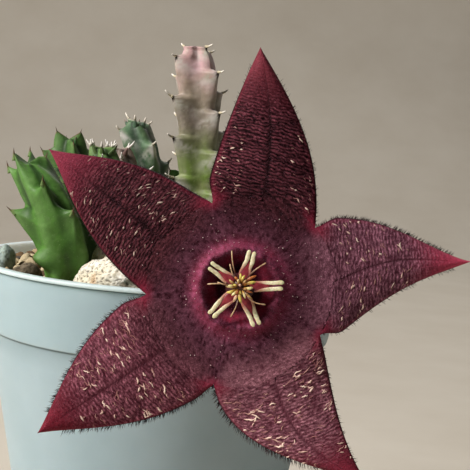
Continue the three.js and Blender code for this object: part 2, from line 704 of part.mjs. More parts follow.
const STEM_PAINT = {
  stem_tall_grey: "grey_stem",
  stem_left_green: "green_stem",
  stem_left_rear: "green_stem",
  stem_back_left: "green_stem",
  stem_middle_short: "green_stem",
  stem_middle_purple: "grey_stem",
  stem_middle_dark: "dark_stem",
  stem_rear_small: "green_stem",
  stem_flowering: "green_stem",
};
const STONE_PAINT = { brown_pebble: "brown_stone", dark_pebble: "dark_stone" };

const plant = new THREE.Group();
plant.add(meshOf("pot", makePot(), "pot"));

const pockets = Object.values(STONES).map((stone) => makeStone(stone, POCKET_GAP));
const cuts = [...Object.values(STEMS).map(stemHole), ...pockets];
plant.add(meshOf("soil", makeSoil(cuts), "soil"));

for (const [name, stone] of Object.entries(STONES))
  plant.add(meshOf(name, makeStone(stone), STONE_PAINT[name] ?? "pumice"));

for (const [name, stem] of Object.entries(STEMS)) {
  const made = name === "stem_flowering" ? makeFloweringStem(stem) : makeStem(stem);
  plant.add(meshOf(name, made, STEM_PAINT[name]));
}

const flower = new THREE.Group();
flower.position.set(...FLOWER_CENTRE);
flower.rotation.x = FLOWER_PITCH;
flower.add(meshOf("corolla", makeCorolla(), "petal"));
flower.add(meshOf("corona_outer", makeOuterCorona(), "cream"));
flower.add(meshOf("corona_inner", makeInnerCorona(), "yellow"));
plant.add(flower);

export default plant;
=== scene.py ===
import math

import bmesh
import bpy
import numpy as np
from mathutils import Matrix, Vector


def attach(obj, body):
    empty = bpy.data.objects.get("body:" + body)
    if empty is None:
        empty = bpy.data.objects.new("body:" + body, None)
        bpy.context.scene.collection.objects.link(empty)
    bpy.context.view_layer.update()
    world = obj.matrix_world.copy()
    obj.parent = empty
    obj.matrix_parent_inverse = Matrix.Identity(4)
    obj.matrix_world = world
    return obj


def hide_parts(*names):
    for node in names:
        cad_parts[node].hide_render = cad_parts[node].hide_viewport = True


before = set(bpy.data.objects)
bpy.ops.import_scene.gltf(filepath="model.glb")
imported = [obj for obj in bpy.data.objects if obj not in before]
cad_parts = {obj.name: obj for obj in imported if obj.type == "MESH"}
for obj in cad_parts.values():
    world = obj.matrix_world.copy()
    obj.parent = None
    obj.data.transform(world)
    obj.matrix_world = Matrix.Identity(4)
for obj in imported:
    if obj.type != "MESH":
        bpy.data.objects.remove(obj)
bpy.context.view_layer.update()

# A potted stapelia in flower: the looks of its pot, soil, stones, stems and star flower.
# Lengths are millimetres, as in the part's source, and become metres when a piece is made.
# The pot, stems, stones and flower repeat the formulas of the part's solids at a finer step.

MM = 0.001
BODY = "root"


def rows_of(columns, rows):
    """Rows of a table as dictionaries, keyed by the names of its columns."""
    return [dict(zip(columns.split(), row)) for row in rows]


def named_rows(columns, rows):
    """The same for rows that have names. A row may stop early."""
    return dict(zip(rows, rows_of(columns, rows.values())))


# Pot
POT_HEIGHT = 50
POT_RIM_RADIUS = 27.5
POT_TAPER = 0.193
LIP_HEIGHT = 0.6
LIP_REACH = 0.35
BAND_HEIGHT = 9.8
BAND_STEP = 0.4
WALL = 0.6
BASE_THICKNESS = 1.3
FOOT_CHAMFER = 0.8
POT_SIDES = 224
DRAIN_HOLES = 6
DRAIN_RADIUS = 2.2
DRAIN_SIDES = 36
DRAIN_CIRCLE = 10.5

# Soil
SOIL_LEVEL = 48.0
SOIL_MOUND = 0.7
SOIL_RELIEF = 0.5
SOIL_GRAIN = 2.6
SOIL_FINE_GRAIN = 1.25
SOIL_GAP = 0.1
SOIL_SIDES = 260
SOIL_RINGS = 90
SOIL_COLOUR = (111, 91, 70)

# Loose grains: how many of each kind, their size, and the two colours that they lie between
GRIT = named_rows("slot count size seed colours", {
    "grit_pale": ("pale_stone", 620, (0.35, 1.15), 3, ((214, 200, 168), (178, 158, 124))),
    "grit_brown": ("brown_stone", 620, (0.3, 0.95), 5, ((132, 106, 78), (84, 64, 48))),
    "grit_dark": ("dark_stone", 330, (0.25, 0.8), 7, ((86, 84, 78), (48, 46, 44))),
})
GRIT_EDGE = 0.9

# Flower: the middle of its face, its pitch from facing +Z, and its sizes
FLOWER_CENTRE = (11.5, -36, 52.2)
FLOWER_PITCH = math.radians(81.5)
PETAL_THICKNESS = 0.9
ANNULUS_RADIUS = 4.75
ANNULUS_WIDTH = 0.7
ANNULUS_HEIGHT = 0.85
PIT_FLOOR = -1.1
CUP_DEPTH = 3.2
CUP_RADIUS = 5.4
EDGE_DROP = 1.3
CREASE_DEPTH = 0.5
CREASE_WIDTH = 0.3
TIP_THINNING = 0.25

# The lobes' forms, as in the part's source
LOBE_FORMS = rows_of("angle length half full nose sway bend arch lift notch", [
    (8, 28.6, 7.7, 1.26, 0.41, 1.4, 5, 2.1, -1.2, (43.0, 11.8)),
    (79, 29.4, 6.9, 2.0, 0.09, 5.2, 1, -1.0, -0.8, (111.6, 10.9)),
    (151, 29.2, 6.7, 3.3, 0.6, -1.7, 1, 0, -2.2, (187.1, 11.3)),
    (222.5, 29.8, 7.4, 2.9, 0.51, -1.6, 1.1, 0, 0.8, (258.8, 11.9)),
    (295, 26.9, 7.2, 2.1, 0.23, 5.9, 2.2, -0.7, 0.4, (334.3, 11.2)),
])

# Their skin: the colours of the valleys, their own dark red deepened by painted shade, of the ridges,
# paler and greyed by a painted shine, and of the tip, how well the ridges line up across the lobe,
# how dark its veins are, how much darker it is by the disc, and how high its ridges stand
LOBE_SKINS = rows_of("valley ridge tip order vein base relief", [
    ((98, 49, 65), (222, 156, 178), (238, 90, 122), 0.6, 0.7, 0.62, 0.6),
    ((27, 6, 11), (146, 80, 92), (158, 72, 86), 1.0, 0.9, 0.42, 1.0),
    ((33, 8, 14), (142, 78, 88), (182, 74, 98), 0.85, 0.45, 0.7, 1.0),
    ((100, 44, 58), (236, 154, 172), (150, 46, 64), 0.5, 1.0, 0.32, 0.9),
    ((120, 60, 76), (248, 178, 192), (158, 50, 70), 0.55, 0.8, 0.68, 0.85),
])

# Their cream marks, as tilt, number, brightness, length, the stretch of the lobe that they lie on
# and how far aside of its middle, and the hairs on the edge by the near notch and on the other
# edge, as number and length
LOBE_MARKS = rows_of("tilt marks glow reach span aside hairs", [
    (0.1, 30, 0.8, (0.3, 1.0), (0.08, 0.62), (0.1, 0.88), ((70, 0.5), (300, 0.55))),
    (0.0, 22, 0.95, (0.25, 0.75), (0.04, 0.6), (0.42, 0.9), ((80, 0.45), (40, 0.4))),
    (0.15, 44, 0.6, (0.25, 0.9), (0.08, 0.86), (0.05, 0.85), ((40, 0.35), (60, 0.4))),
    (-0.35, 50, 1.1, (0.4, 1.6), (0.12, 0.84), (0.1, 0.84), ((260, 0.6), (260, 0.7))),
    (-0.2, 54, 1.2, (0.3, 1.5), (0.06, 0.86), (0.08, 0.86), ((260, 0.85), (60, 0.45))),
])
LOBES = [{**form, **skin, **marks} for form, skin, marks in zip(LOBE_FORMS, LOBE_SKINS, LOBE_MARKS)]
LOBE_RANGE = range(len(LOBES))
DISC_RIM = 8.2
DISC_MIDDLE = 0.3
DISC_ROWS = 46
ROUND_ROWS = 0.7
LOBE_ROWS = 200
LOBE_COLUMNS = 80
BACK_COLUMNS = 40

# Veins on the back of a lobe beside its middle one: place across it and strength
BACK_VEINS = ((0.3, 0.6), (0.55, 0.45), (0.78, 0.3))
VEIN_HEIGHT = 0.28

RIDGE_PITCH = 0.42
RIDGE_HEIGHT = 0.13
RIDGE_SHARPNESS = 2.4
MARK_WIDTH = (0.065, 0.145)
MARK_STEP = 0.2
MARK_SIDES = 5
FAINT_MARKS = 1.5
FUZZ_HAIRS = 4200
FUZZ_ON_RING = 0.7
FUZZ_LENGTH = (0.16, 0.34)
VELVET = (5.2, 9)
POLLEN_SPECKS = 120
POLLEN_SIZE = (0.03, 0.07)
EDGE_HAIR_WIDTH = 0.075
FUZZ_HAIR_WIDTH = 0.032

# Colours of the hairs at their foot and tip, and of the lightest and darkest specks
EDGE_HAIR_COLOURS = ((36, 12, 20), (96, 60, 70))
FUZZ_COLOURS = ((104, 36, 58), (208, 148, 186))
POLLEN_COLOURS = ((244, 232, 222), (196, 150, 160))

# How far apart the lobes lie in the places that lay out the grain of their skin
LOBE_APART = 40

# Seeds of the draws of the flower's small parts
SEEDS = {"marks": 75, "edge_hairs": 61, "ring_fuzz": 62, "specks": 63, "straps": 65, "rays": 67}

# Fine lines of the petals' skin: their spread along, across and between lobes, how wide they are,
# and how much painted shade darkens the skin between them and how much a painted glint brightens them
LINE_SPREAD = (4.4, 1.7, 0)
LINE_SHARE = 0.07
LINE_PAINTED_SHADE = (216, 208, 212)
LINE_PAINTED_GLINT = (1.4, 1.4, 1.45, 1)

# Corona: its middle, the level of its straps, and each strap as direction and length
CORONA_MIDDLE = (0.05, 0.25)
CORONA_LEVEL = 1.35
STRAPS = [(6, 5.2), (75, 4.7), (147.5, 4.5), (228, 4.95), (298, 5.1)]

# Stalk and calyx of the flower
STALK_RADIUS = 1.05
STALK_STEPS = 60
STALK_SIDES = 28
STALK_COLOURS = ((104, 122, 64), (124, 72, 64))
STALK_ROUTE = [
    (11.5, -31.9, 51.55), (11.4, -29.5, 52.2), (10.9, -26.4, 52.7), (9.9, -23, 52.5),
    (8.6, -19.6, 51.8), (7.0, -16.2, 51.2), (6.2, -13.6, 51.0),
]
# The cup as rows of depth and radius, and a sepal as rows of out, up, half width and half thickness
CALYX = [(3.3, 2.0), (4.0, 1.95), (4.5, 1.6), (4.9, 1.15)]
SEPAL = [(0.8, -4.1, 0.6, 0.4), (2.6, -3.9, 0.85, 0.35), (4.6, -2.9, 0.68, 0.3), (6.7, -2.2, 0.15, 0.2)]
CUP_STEPS = 14
CUP_SIDES = 36
SEPAL_STEPS = 26
SEPAL_SIDES = 20

# Stems, as in the part's source, each with the palette of its skin. The tall stem's ledges are a
# little crisper here, and its crown blunter. The shift is how far up each of the four rows of teeth
# starts, in steps from tooth to tooth.
STEM_FOOT = 44.5
USUAL_SHIFT = (0, 0.5, 0, 0.5)
STEMS = named_rows("foot top bow radius turn tooth palette first pitch shift", {
    "stem_tall_grey": (
        (5.0, 5.0), (2.6, 5.0, 82.2), (0.6, 0, 0), 3.25, 42, "ledge", "grey", 6.2, 5.9, (0.25, 0.5, 0, 0.72),
    ),
    "stem_left_green": ((-12.3, -16.0), (-18.0, -15.8, 64.2), (2.0, 0, 0), 3.4, -20, "cone", "green"),
    "stem_left_rear": ((-11.2, -6.9), (-16.4, -5.3, 63.2), (1.2, 0, 0), 2.8, 20, "horn", "deep", 7.0, 6.0),
    "stem_back_left": ((-13.4, 5.8), (-15.5, 5.0, 67.0), (0.4, 0.4, 0), 2.5, 18, "horn", "deep", 7.2, 5.8),
    "stem_middle_short": ((-6.2, -1.8), (-9.8, -1.4, 66.3), (0.9, 0, 0), 2.4, 0, "spur", "pale", 7.0, 5.4),
    "stem_middle_purple": ((-4.6, 5.6), (-7.9, 6.2, 66.0), (0.8, 0, 0), 2.2, 5, "spur", "purple", 7.0, 5.6),
    "stem_middle_dark": (
        (-0.8, 12.2), (-6.4, 12.0, 70.2), (1.0, 0, 0), 2.75, 33, "spur", "blue", 6.6, 5.8, (0.2, 0.5, 0, 0.7),
    ),
    "stem_rear_small": ((2.2, 18.2), (1.4, 18.0, 62.4), (0.2, 0, 0), 2.1, 25, "horn", "green", 7.0, 5.4),
    "stem_flowering": ((6.0, -13.4), (6.3, -13.0, 60.0), (0.2, 0.3, 0), 2.7, 60, "spur", "deep", 7.0, 5.4),
})
# The left stem's teeth, one by one, as height, direction, reach and rise
LEFT_TEETH = (
    (7, 220, 2.1, 0.6), (12, 190, 3.0, 1.6), (17, 160, 1.3, 2.4),
    (15, 280, 1.7, 3.5), (19, 220, 0.4, 2.4), (12, 310, 2.4, 2.4),
    (19, 40, 0.9, 2.0), (10, 70, 2.0, 0.8), (16, 70, 1.6, 1.5), (18, 100, 1.5, 3.8),
)
TEETH = named_rows("drop flare shoulder spread steep reach rise", {
    "ledge": (5.2, 1.1, 0.6, 55, 2, 1.85, 0.25),
    "horn": (5.2, 1.4, 1.8, 50, 1.5, 2.0, 2.4),
    "cone": (4.4, 1.1, 2.0, 44, 1.2),
    "spur": (4.6, 1.6, 1.1, 50, 2, 1.6, 1.0),
})
STEM_SLOTS = {
    "stem_tall_grey": "grey_stem",
    "stem_middle_purple": "grey_stem",
    "stem_middle_dark": "dark_stem",
}
STEM_ANGULARITY = 0.12
SOIL_MARGIN = 5.2
WAIST = 0.72
WAIST_START = 2.5
WAIST_RUN = 6
TAPER = 0.88
CROWN = 4.2
CROWN_REACH = CROWN + 0.4
CROWN_FLAT = 0.2
BLUNT_CROWN = 0.36
CROWN_CROWDING = 0.5
CROWN_TOOTH_REACH = 0.4
CROWN_TOOTH_RISE = 0.6
TOOTH_POINT = 1.3
STEM_JITTER = 0.12
STEM_START = 2.0
STEM_STEP = 0.2
STEM_SIDES = 96
CAP_STEPS = (0.3, 0.55, 0.78, 0.95)

# Stones, as in the part's source, each with how many pits it has. Then the light and dark colour
# of those that differ from the rest; those of the pale and dark pebbles are raised by painted light
# and those of the brown pebble lowered by painted shade.
STONES = named_rows("at half turn seed pits", {
    "pumice_lump": ((-3.7, -20.2, 48.9), (7.4, 4.0, 4.4), 0, 251, 1300),
    "pale_pebble": ((-6.9, -11.8, 50.2), (2.6, 2.3, 4.2), 40, 11, 0),
    "brown_pebble": ((-18.2, -12.2, 48.5), (2.7, 2.0, 1.7), 60, 5, 60),
    "dark_pebble": ((-22.3, -6.0, 49.5), (1.5, 2.0, 2.4), 0, 8, 0),
    "right_stone": ((16.0, -9.8, 49.0), (4.4, 3.4, 2.8), 70, 21, 160),
    "back_stone": ((11.4, 14.6, 48.8), (4.0, 3.0, 2.4), 25, 34, 140),
    "side_pebble": ((18.2, 3.2, 48.4), (2.6, 3.2, 1.9), 110, 55, 70),
    "rear_pebble": ((-9.6, 18.2, 48.4), (3.0, 2.4, 2.0), 150, 13, 70),
    "middle_pebble": ((0.4, -4.6, 49.0), (2.2, 2.6, 1.9), 20, 44, 50),
})
STONE_COLOURS = {
    "pumice_lump": ((256, 256, 252), (240, 232, 210)),
    # painted light: paler than white
    "pale_pebble": ((290, 284, 256), (262, 250, 212)),
    # painted shade: darker than the stone's own colour
    "brown_pebble": ((134, 122, 104), (92, 82, 68)),
    # painted light: this dark stone is painted pale
    "dark_pebble": ((186, 206, 200), (134, 150, 148)),
}
USUAL_STONE = ((206, 192, 164), (160, 140, 112))
STONE_SLOTS = {"brown_pebble": "brown_stone", "dark_pebble": "dark_stone"}
STONE_ROUGHNESS = 0.16
STONE_BUMPS = 1.7
PIT_SIZE = 0.2
SMOOTH_STONE = 0.35
RUST = (214, 160, 100)
PORE_PAINTED_SHADE = (70, 56, 42)

# Grains of the stones and of the loose grit: the colour of their pores, and their size
STONE_GRAIN = ((84, 70, 54), 0.35)
GRIT_GRAIN = ((70, 56, 42), 0.3)

# Camera of the photograph: eye, pitch below level, roll, and focal length in pixels of its frame
CAMERA_EYE = (10.5, -191.8, 75.28)
CAMERA_PITCH = math.radians(6.06)
CAMERA_ROLL = math.radians(3.99)
FOCAL_PIXELS = 1300
FRAME_PIXELS = 470
SENSOR_WIDTH = 36

# Each light: place, target, size, power and colour. Then the even light from all sides.
LIGHTS = {
    "key_light": ((-410, -255, 440), (0, -20, 55), 200, 5.8, (1.0, 0.96, 0.91)),
    "fill_light": ((380, -360, 180), (0, 0, 50), 420, 0.03, (0.93, 0.96, 1.0)),
    "back_light": ((120, 420, 380), (0, 0, 60), 300, 0.5, (1.0, 0.98, 0.95)),
}
SKY_COLOUR = (0.92, 0.95, 1.0, 1)
SKY_STRENGTH = 0.034

# Stage: the floor's front, where it starts to rise, the radius of that curve, the wall's top and
# half its width
FLOOR_FRONT = -900
WALL_START = 420
WALL_CURVE = 260
WALL_TOP = 1500
STAGE_HALF = 1400
STAGE_STEPS = 12


# Numbers and colours


def rgb(red, green, blue):
    """Linear colour of a screen colour from 0 to 255."""
    share = np.array([red, green, blue]) / 255
    return np.where(share < 0.04045, share / 12.92, ((share + 0.055) / 1.055) ** 2.4)


def mix(a, b, t):
    return a + (b - a) * t


def smooth(t):
    c = np.clip(t, 0, 1)
    return c * c * (3 - 2 * c)


def bell(x, middle, width):
    return np.exp(-(((x - middle) / width) ** 2))


def lattice(corner, seed):
    """A repeatable value from 0 to 1 for each point of an integer lattice."""
    x, y, z = [(c.astype(np.int64) & 0xFFFFFFFF).astype(np.uint32) for c in corner]
    h = x * np.uint32(374761393) + y * np.uint32(668265263) + z * np.uint32(2147483647 ^ seed)
    h = (h ^ (h >> np.uint32(13))) * np.uint32(1274126177) + np.uint32(seed * 97)
    h = (h ^ (h >> np.uint32(16))) * np.uint32(2246822519)
    return (h ^ (h >> np.uint32(15))) / 4294967296


def noise(x, y, z, seed):
    """Smooth noise from -1 to 1."""
    x, y, z = np.broadcast_arrays(*[np.atleast_1d(np.asarray(c, float)) for c in (x, y, z)])
    corner = [np.floor(c) for c in (x, y, z)]
    part = [smooth(c - f) for c, f in zip((x, y, z), corner)]
    total = np.zeros(x.shape)
    for i in range(8):
        step = [i & 1, (i >> 1) & 1, (i >> 2) & 1]
        weight = np.ones(x.shape)
        for s, p in zip(step, part):
            weight = weight * (p if s else 1 - p)
        total += weight * lattice([f + s for f, s in zip(corner, step)], seed)
    return 2 * total - 1


def noise_at(points, size, seed):
    """Smooth noise at places in space, with bumps of about the given size."""
    return noise(points[..., 0] / size, points[..., 1] / size, points[..., 2] / size + 0.37, seed)


def over(paint, colour, mask):
    """Paint, or one colour, with a colour laid over it where the mask is 1."""
    return paint + (colour - paint) * np.clip(mask, 0, 1)[..., None]


def cos_sin(angle):
    """Cosine and sine of an angle in degrees."""
    return math.cos(math.radians(angle)), math.sin(math.radians(angle))


def outward(angle):
    """The level direction at an angle in degrees from +X."""
    t = np.radians(angle)
    return np.stack([np.cos(t), np.sin(t), np.zeros_like(t)], -1)


def turn_between(a, b):
    """Degrees between two directions, from 0 to 180."""
    return np.abs((a - b + 900) % 360 - 180)


def unit(vectors):
    return vectors / np.maximum(np.linalg.norm(vectors, axis=-1, keepdims=True), 1e-9)


# Meshes


def new_mesh(name, points, faces):
    mesh = bpy.data.meshes.new(name)
    mesh.from_pydata((points * MM).tolist(), [], faces)
    return mesh


def new_object(name, data):
    made = bpy.data.objects.new(name, data)
    bpy.context.scene.collection.objects.link(made)
    return made


class Shape:
    """Points, faces and paint of one piece, gathered part by part."""

    def __init__(self):
        self.points = []
        self.paint = []
        self.spots = []
        self.faces = []
        self.count = 0

    def add(self, points, faces, paint, spots=None):
        """Add points with their paint. Spots are places by which a look may lay out its grain."""
        points = points.reshape(-1, 3)
        self.points.append(points)
        self.spots.append(points if spots is None else spots)
        self.paint.append(np.broadcast_to(paint, (len(points), 3)))
        for group in faces:
            moved = group if isinstance(group, list) else group.tolist()
            self.faces += [[i + self.count for i in face] for face in moved]
        self.count += len(points)

    def wrap(self, rings, paint, place=None):
        """Add a closed skin over rings. Paint is a colour, or gives the colours of points."""
        points, faces = closed_skin(rings)
        colours = paint(points) if callable(paint) else paint
        self.add(place(points) if place else points, faces, colours)

    def piece(self, name, look, slot, replaces=()):
        """The Blender object of this shape, riding on the part."""
        mesh = new_mesh(name, np.concatenate(self.points), self.faces)
        layer = mesh.color_attributes.new("paint", "FLOAT_COLOR", "POINT")
        colours = np.ones((self.count, 4), np.float32)
        colours[:, :3] = np.concatenate(self.paint)
        layer.data.foreach_set("color", colours.ravel())
        spots = mesh.attributes.new("spot", "FLOAT_VECTOR", "POINT")
        spots.data.foreach_set("vector", np.concatenate(self.spots).astype(np.float32).ravel())
        mesh.polygons.foreach_set("use_smooth", [True] * len(mesh.polygons))
        mesh.materials.append(look)
        made = new_object(name, mesh)
        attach(made, BODY)
        if replaces:
            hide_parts(*replaces)
        return made


def grid_faces(rows, columns, closed=False, flip=False):
    """Quads over a grid of points stored row by row. Closed grids wrap round their columns."""
    last = columns if closed else columns - 1
    i, j = np.meshgrid(np.arange(rows - 1), np.arange(last), indexing="ij")
    a = i * columns + j
    b = i * columns + (j + 1) % columns
    corners = [a, a + columns, b + columns, b] if flip else [a, b, b + columns, a + columns]
    return np.stack(corners, -1).reshape(-1, 4)


def closed_skin(rings):
    """Points and faces of a closed skin over rings of equal length, with a fan over each end."""
    rows, sides = rings.shape[:2]
    ends = np.stack([rings[0].mean(0), rings[-1].mean(0)])
    points = np.concatenate([rings.reshape(-1, 3), ends])
    k = np.arange(sides)
    after = (k + 1) % sides
    start = np.stack([np.full(sides, rows * sides), after, k], -1)
    top = (rows - 1) * sides
    end = np.stack([np.full(sides, rows * sides + 1), top + k, top + after], -1)
    return points, [grid_faces(rows, sides, closed=True), start, end]


def spline(route, steps):
    """Points along a smooth curve through the rows of a route of any width."""
    route = np.asarray(route, float)
    padded = np.concatenate([2 * route[:1] - route[1:2], route, 2 * route[-1:] - route[-2:-1]])
    t = np.linspace(0, len(route) - 1, steps)
    i = np.minimum(t.astype(int), len(route) - 2)
    u = (t - i)[:, None]
    a, b, c, d = [padded[i + k] for k in range(4)]
    return b + 0.5 * u * (c - a + u * (2 * a - 5 * b + 4 * c - d + u * (3 * (b - c) + d - a)))


def tube_rings(route, wide, tall, sides, flat=(0, 0, 1)):
    """Elliptic rings along a route: half sizes across, and in the direction of the flat vector."""
    along = unit(np.gradient(route, axis=0))
    across = unit(np.cross(along, np.asarray(flat, float)))
    up = np.cross(across, along)
    t = np.linspace(0, 2 * np.pi, sides, endpoint=False)[None, :, None]
    wide = np.broadcast_to(wide, len(route))[:, None, None]
    tall = np.broadcast_to(tall, len(route))[:, None, None]
    return route[:, None] + across[:, None] * wide * np.cos(t) + up[:, None] * tall * np.sin(t)


def circle(radius, height, sides, middle=(0, 0)):
    """Points of a level circle."""
    t = np.linspace(0, 2 * np.pi, sides, endpoint=False)
    return np.stack([middle[0] + radius * np.cos(t), middle[1] + radius * np.sin(t), height + 0 * t], -1)


def ball(subdivisions):
    """Points and triangles of a unit ball."""
    made = bmesh.new()
    bmesh.ops.create_icosphere(made, subdivisions=subdivisions, radius=1)
    made.verts.ensure_lookup_table()
    points = np.array([v.co for v in made.verts])
    faces = np.array([[v.index for v in f.verts] for f in made.faces])
    made.free()
    return points, faces


# Materials

WHITE = (255, 255, 255)


class Look:
    """A node material on one Principled shader, with short ways to add nodes to it."""

    def __init__(self, name, **settings):
        self.material = bpy.data.materials.new(name)
        self.material.use_nodes = True
        self.tree = self.material.node_tree
        self.shader = self.tree.nodes["Principled BSDF"]
        for socket, value in settings.items():
            self.shader.inputs[socket.replace("_", " ")].default_value = value
        self.place = self.add("TexCoord").outputs["Object"]

    def add(self, kind, inputs=None, **settings):
        made = self.tree.nodes.new("ShaderNode" + kind)
        for key, value in settings.items():
            setattr(made, key, value)
        for key, value in (inputs or {}).items():
            self.put(made.inputs[key], value)
        return made

    def put(self, socket, value):
        if isinstance(value, bpy.types.NodeSocket):
            self.tree.links.new(value, socket)
        else:
            socket.default_value = value

    def paint(self):
        return self.add("Attribute", attribute_name="paint").outputs["Color"]

    def noise(self, size, detail=3.0, roughness=0.55):
        """Noise from 0 to 1 with features of about the given size in millimetres."""
        values = {"Vector": self.place, "Scale": 1000 / size, "Detail": detail, "Roughness": roughness}
        return self.add("TexNoise", values).outputs["Fac"]

    def cells(self, size):
        """Distance from the middles of cells of about the given size."""
        values = {"Vector": self.place, "Scale": 1000 / size}
        return self.add("TexVoronoi", values, feature="F1").outputs["Distance"]

    def span(self, value, low, high, to_low=0.0, to_high=1.0):
        values = {"Value": value, "From Min": low, "From Max": high, "To Min": to_low, "To Max": to_high}
        return self.add("MapRange", values, clamp=True).outputs["Result"]

    def blend(self, share, a, b, mode="MIX"):
        """Two colours mixed. A colour given as three numbers is a screen colour."""
        made = self.add("Mix", data_type="RGBA", blend_type=mode)
        self.put(made.inputs[0], share)
        for socket, value in ((made.inputs[6], a), (made.inputs[7], b)):
            on_screen = isinstance(value, tuple) and len(value) == 3
            self.put(socket, (*rgb(*value), 1.0) if on_screen else value)
        return made.outputs[2]

    def times(self, a, b):
        """Two colours multiplied."""
        return self.blend(1.0, a, b, "MULTIPLY")

    def maths(self, a, operation, b):
        made = self.add("Math", operation=operation)
        self.put(made.inputs[0], a)
        self.put(made.inputs[1], b)
        return made.outputs[0]

    def shaded(self, value, low, high, dark):
        """The piece's paint, darkened by a colour where a value is low."""
        return self.times(self.paint(), self.blend(self.span(value, low, high), dark, WHITE))

    def finish(self, colour, height=None, depth=0.02, strength=1.0, roughness=None):
        """Join colour, relief with its depth in millimetres, and roughness to the shader."""
        self.put(self.shader.inputs["Base Color"], colour)
        if height is not None:
            bump = self.add("Bump", {"Height": height, "Strength": strength, "Distance": depth * MM})
            self.put(self.shader.inputs["Normal"], bump.outputs["Normal"])
        if roughness is not None:
            self.put(self.shader.inputs["Roughness"], roughness)
        return self.material


def petal_look():
    """Petal skin: thin raised lines run across each lobe, where the spot's third value is 1, with a painted
    glint on the lines and painted shade between them.
    """
    look = Look("petal_skin", Specular_IOR_Level=0.04)
    spot = look.add("Attribute", attribute_name="spot").outputs["Vector"]
    weight = look.add("SeparateXYZ", {"Vector": spot}).outputs["Z"]
    stretched = look.add("VectorMath", {0: spot, 1: LINE_SPREAD}, operation="MULTIPLY").outputs["Vector"]
    values = {"Vector": stretched, "Scale": 1, "Detail": 2, "Roughness": 0.5, "Distortion": 0.5}
    wave = look.add("TexNoise", values).outputs["Fac"]
    away = look.maths(look.maths(wave, "SUBTRACT", 0.5), "ABSOLUTE", 0)
    lines = look.maths(look.span(away, 0, LINE_SHARE, 1, 0), "MULTIPLY", weight)
    grain = look.noise(0.16, detail=4, roughness=0.65)
    colour = look.shaded(grain, 0.3, 0.75, (168, 158, 162))
    # painted shade between the lines and a painted glint on them
    lined = look.blend(lines, look.times(colour, LINE_PAINTED_SHADE), look.times(colour, LINE_PAINTED_GLINT))
    colour = look.blend(weight, colour, lined)
    dots = look.span(look.noise(0.14, detail=3, roughness=0.7), 0.6, 0.72)
    colour = look.blend(look.maths(dots, "MULTIPLY", 0.3), colour, (190, 132, 160))
    rough = look.span(look.noise(0.5), 0.3, 0.7, 0.42, 0.62)
    relief = look.maths(lines, "ADD", look.maths(grain, "MULTIPLY", 0.8))
    return look.finish(colour, relief, depth=0.06, strength=0.8, roughness=rough)


def stem_look(name, speck):
    """Fleshy skin, mottled and flecked, that light enters a little."""
    look = Look(name, Specular_IOR_Level=0.4, Subsurface_Weight=0.03, Subsurface_Scale=0.001)
    look.shader.inputs["Subsurface Radius"].default_value = (0.6, 1.0, 0.3)
    fleck = look.span(look.noise(0.22, detail=4, roughness=0.7), 0.6, 0.75)
    mottle = look.noise(2.2, detail=4)
    colour = look.shaded(mottle, 0.3, 0.7, (206, 212, 196))
    colour = look.blend(look.maths(fleck, "MULTIPLY", 0.25), colour, speck)
    rough = look.span(mottle, 0.3, 0.7, 0.5, 0.68)
    return look.finish(colour, look.noise(0.35, detail=4), depth=0.04, strength=0.6, roughness=rough)


def corona_look():
    look = Look("corona_flesh", Specular_IOR_Level=0.45, Subsurface_Weight=0.12, Subsurface_Scale=0.0006)
    streak = look.noise(0.3, detail=3)
    colour = look.shaded(streak, 0.3, 0.7, (222, 212, 190))
    rough = look.span(look.noise(0.6), 0.3, 0.7, 0.3, 0.45)
    return look.finish(colour, streak, depth=0.02, strength=0.5, roughness=rough)


def hair_look(name):
    look = Look(name, Roughness=0.6)
    return look.finish(look.times(look.paint(), look.blend(look.noise(0.4), (215, 210, 210), WHITE)))


def plastic_look():
    """Thin matt plastic that lets some light through, with a haze, dust and rare dark specks."""
    look = Look("pot_plastic", Specular_IOR_Level=0.4, Subsurface_Weight=0.9, Subsurface_Scale=0.003)
    look.shader.inputs["Subsurface Radius"].default_value = (1.0, 1.0, 0.9)
    haze = look.noise(9, detail=5)
    dust = look.noise(0.5, detail=3)
    colour = look.blend(look.span(haze, 0.3, 0.7), (188, 213, 218), (198, 222, 227))
    specks = look.maths(look.cells(2.6), "LESS_THAN", 0.045)
    rare = look.maths(look.noise(3.1, detail=0), "GREATER_THAN", 0.66)
    colour = look.blend(look.maths(specks, "MULTIPLY", rare), colour, (92, 100, 98))
    colour = look.blend(look.span(dust, 0.62, 0.8, 0.0, 0.25), colour, (214, 222, 218))
    rough = look.span(haze, 0.3, 0.7, 0.42, 0.56)
    return look.finish(look.times(colour, look.paint()), dust, depth=0.008, strength=0.5, roughness=rough)


def stone_look(name, dark, grain_size):
    """Stone whose base colour is painted, with darker grains and pores of the given size."""
    look = Look(name, Specular_IOR_Level=0.3, Roughness=0.9)
    grain = look.noise(grain_size, detail=5, roughness=0.7)
    cells = look.cells(grain_size * 1.4)
    colour = look.shaded(grain, 0.35, 0.65, (212, 206, 196))
    pores = look.span(cells, 0.05, 0.16, 0.75, 0.0)
    colour = look.blend(look.maths(pores, "MULTIPLY", look.span(grain, 0.4, 0.6)), colour, dark)
    height = look.maths(grain, "ADD", look.span(cells, 0.0, 0.3))
    return look.finish(colour, height, depth=0.12, strength=0.8)


def soil_look():
    look = Look("soil_mix", Specular_IOR_Level=0.2, Roughness=0.95)
    crumb = look.noise(0.8, detail=6, roughness=0.75)
    pale = look.span(look.noise(1.3, detail=3), 0.55, 0.62)
    colour = look.blend(look.span(crumb, 0.3, 0.7), (62, 46, 34), (128, 104, 80))
    colour = look.blend(look.maths(pale, "MULTIPLY", 0.7), colour, (184, 168, 140))
    return look.finish(colour, crumb, depth=0.5)


# Pot and soil

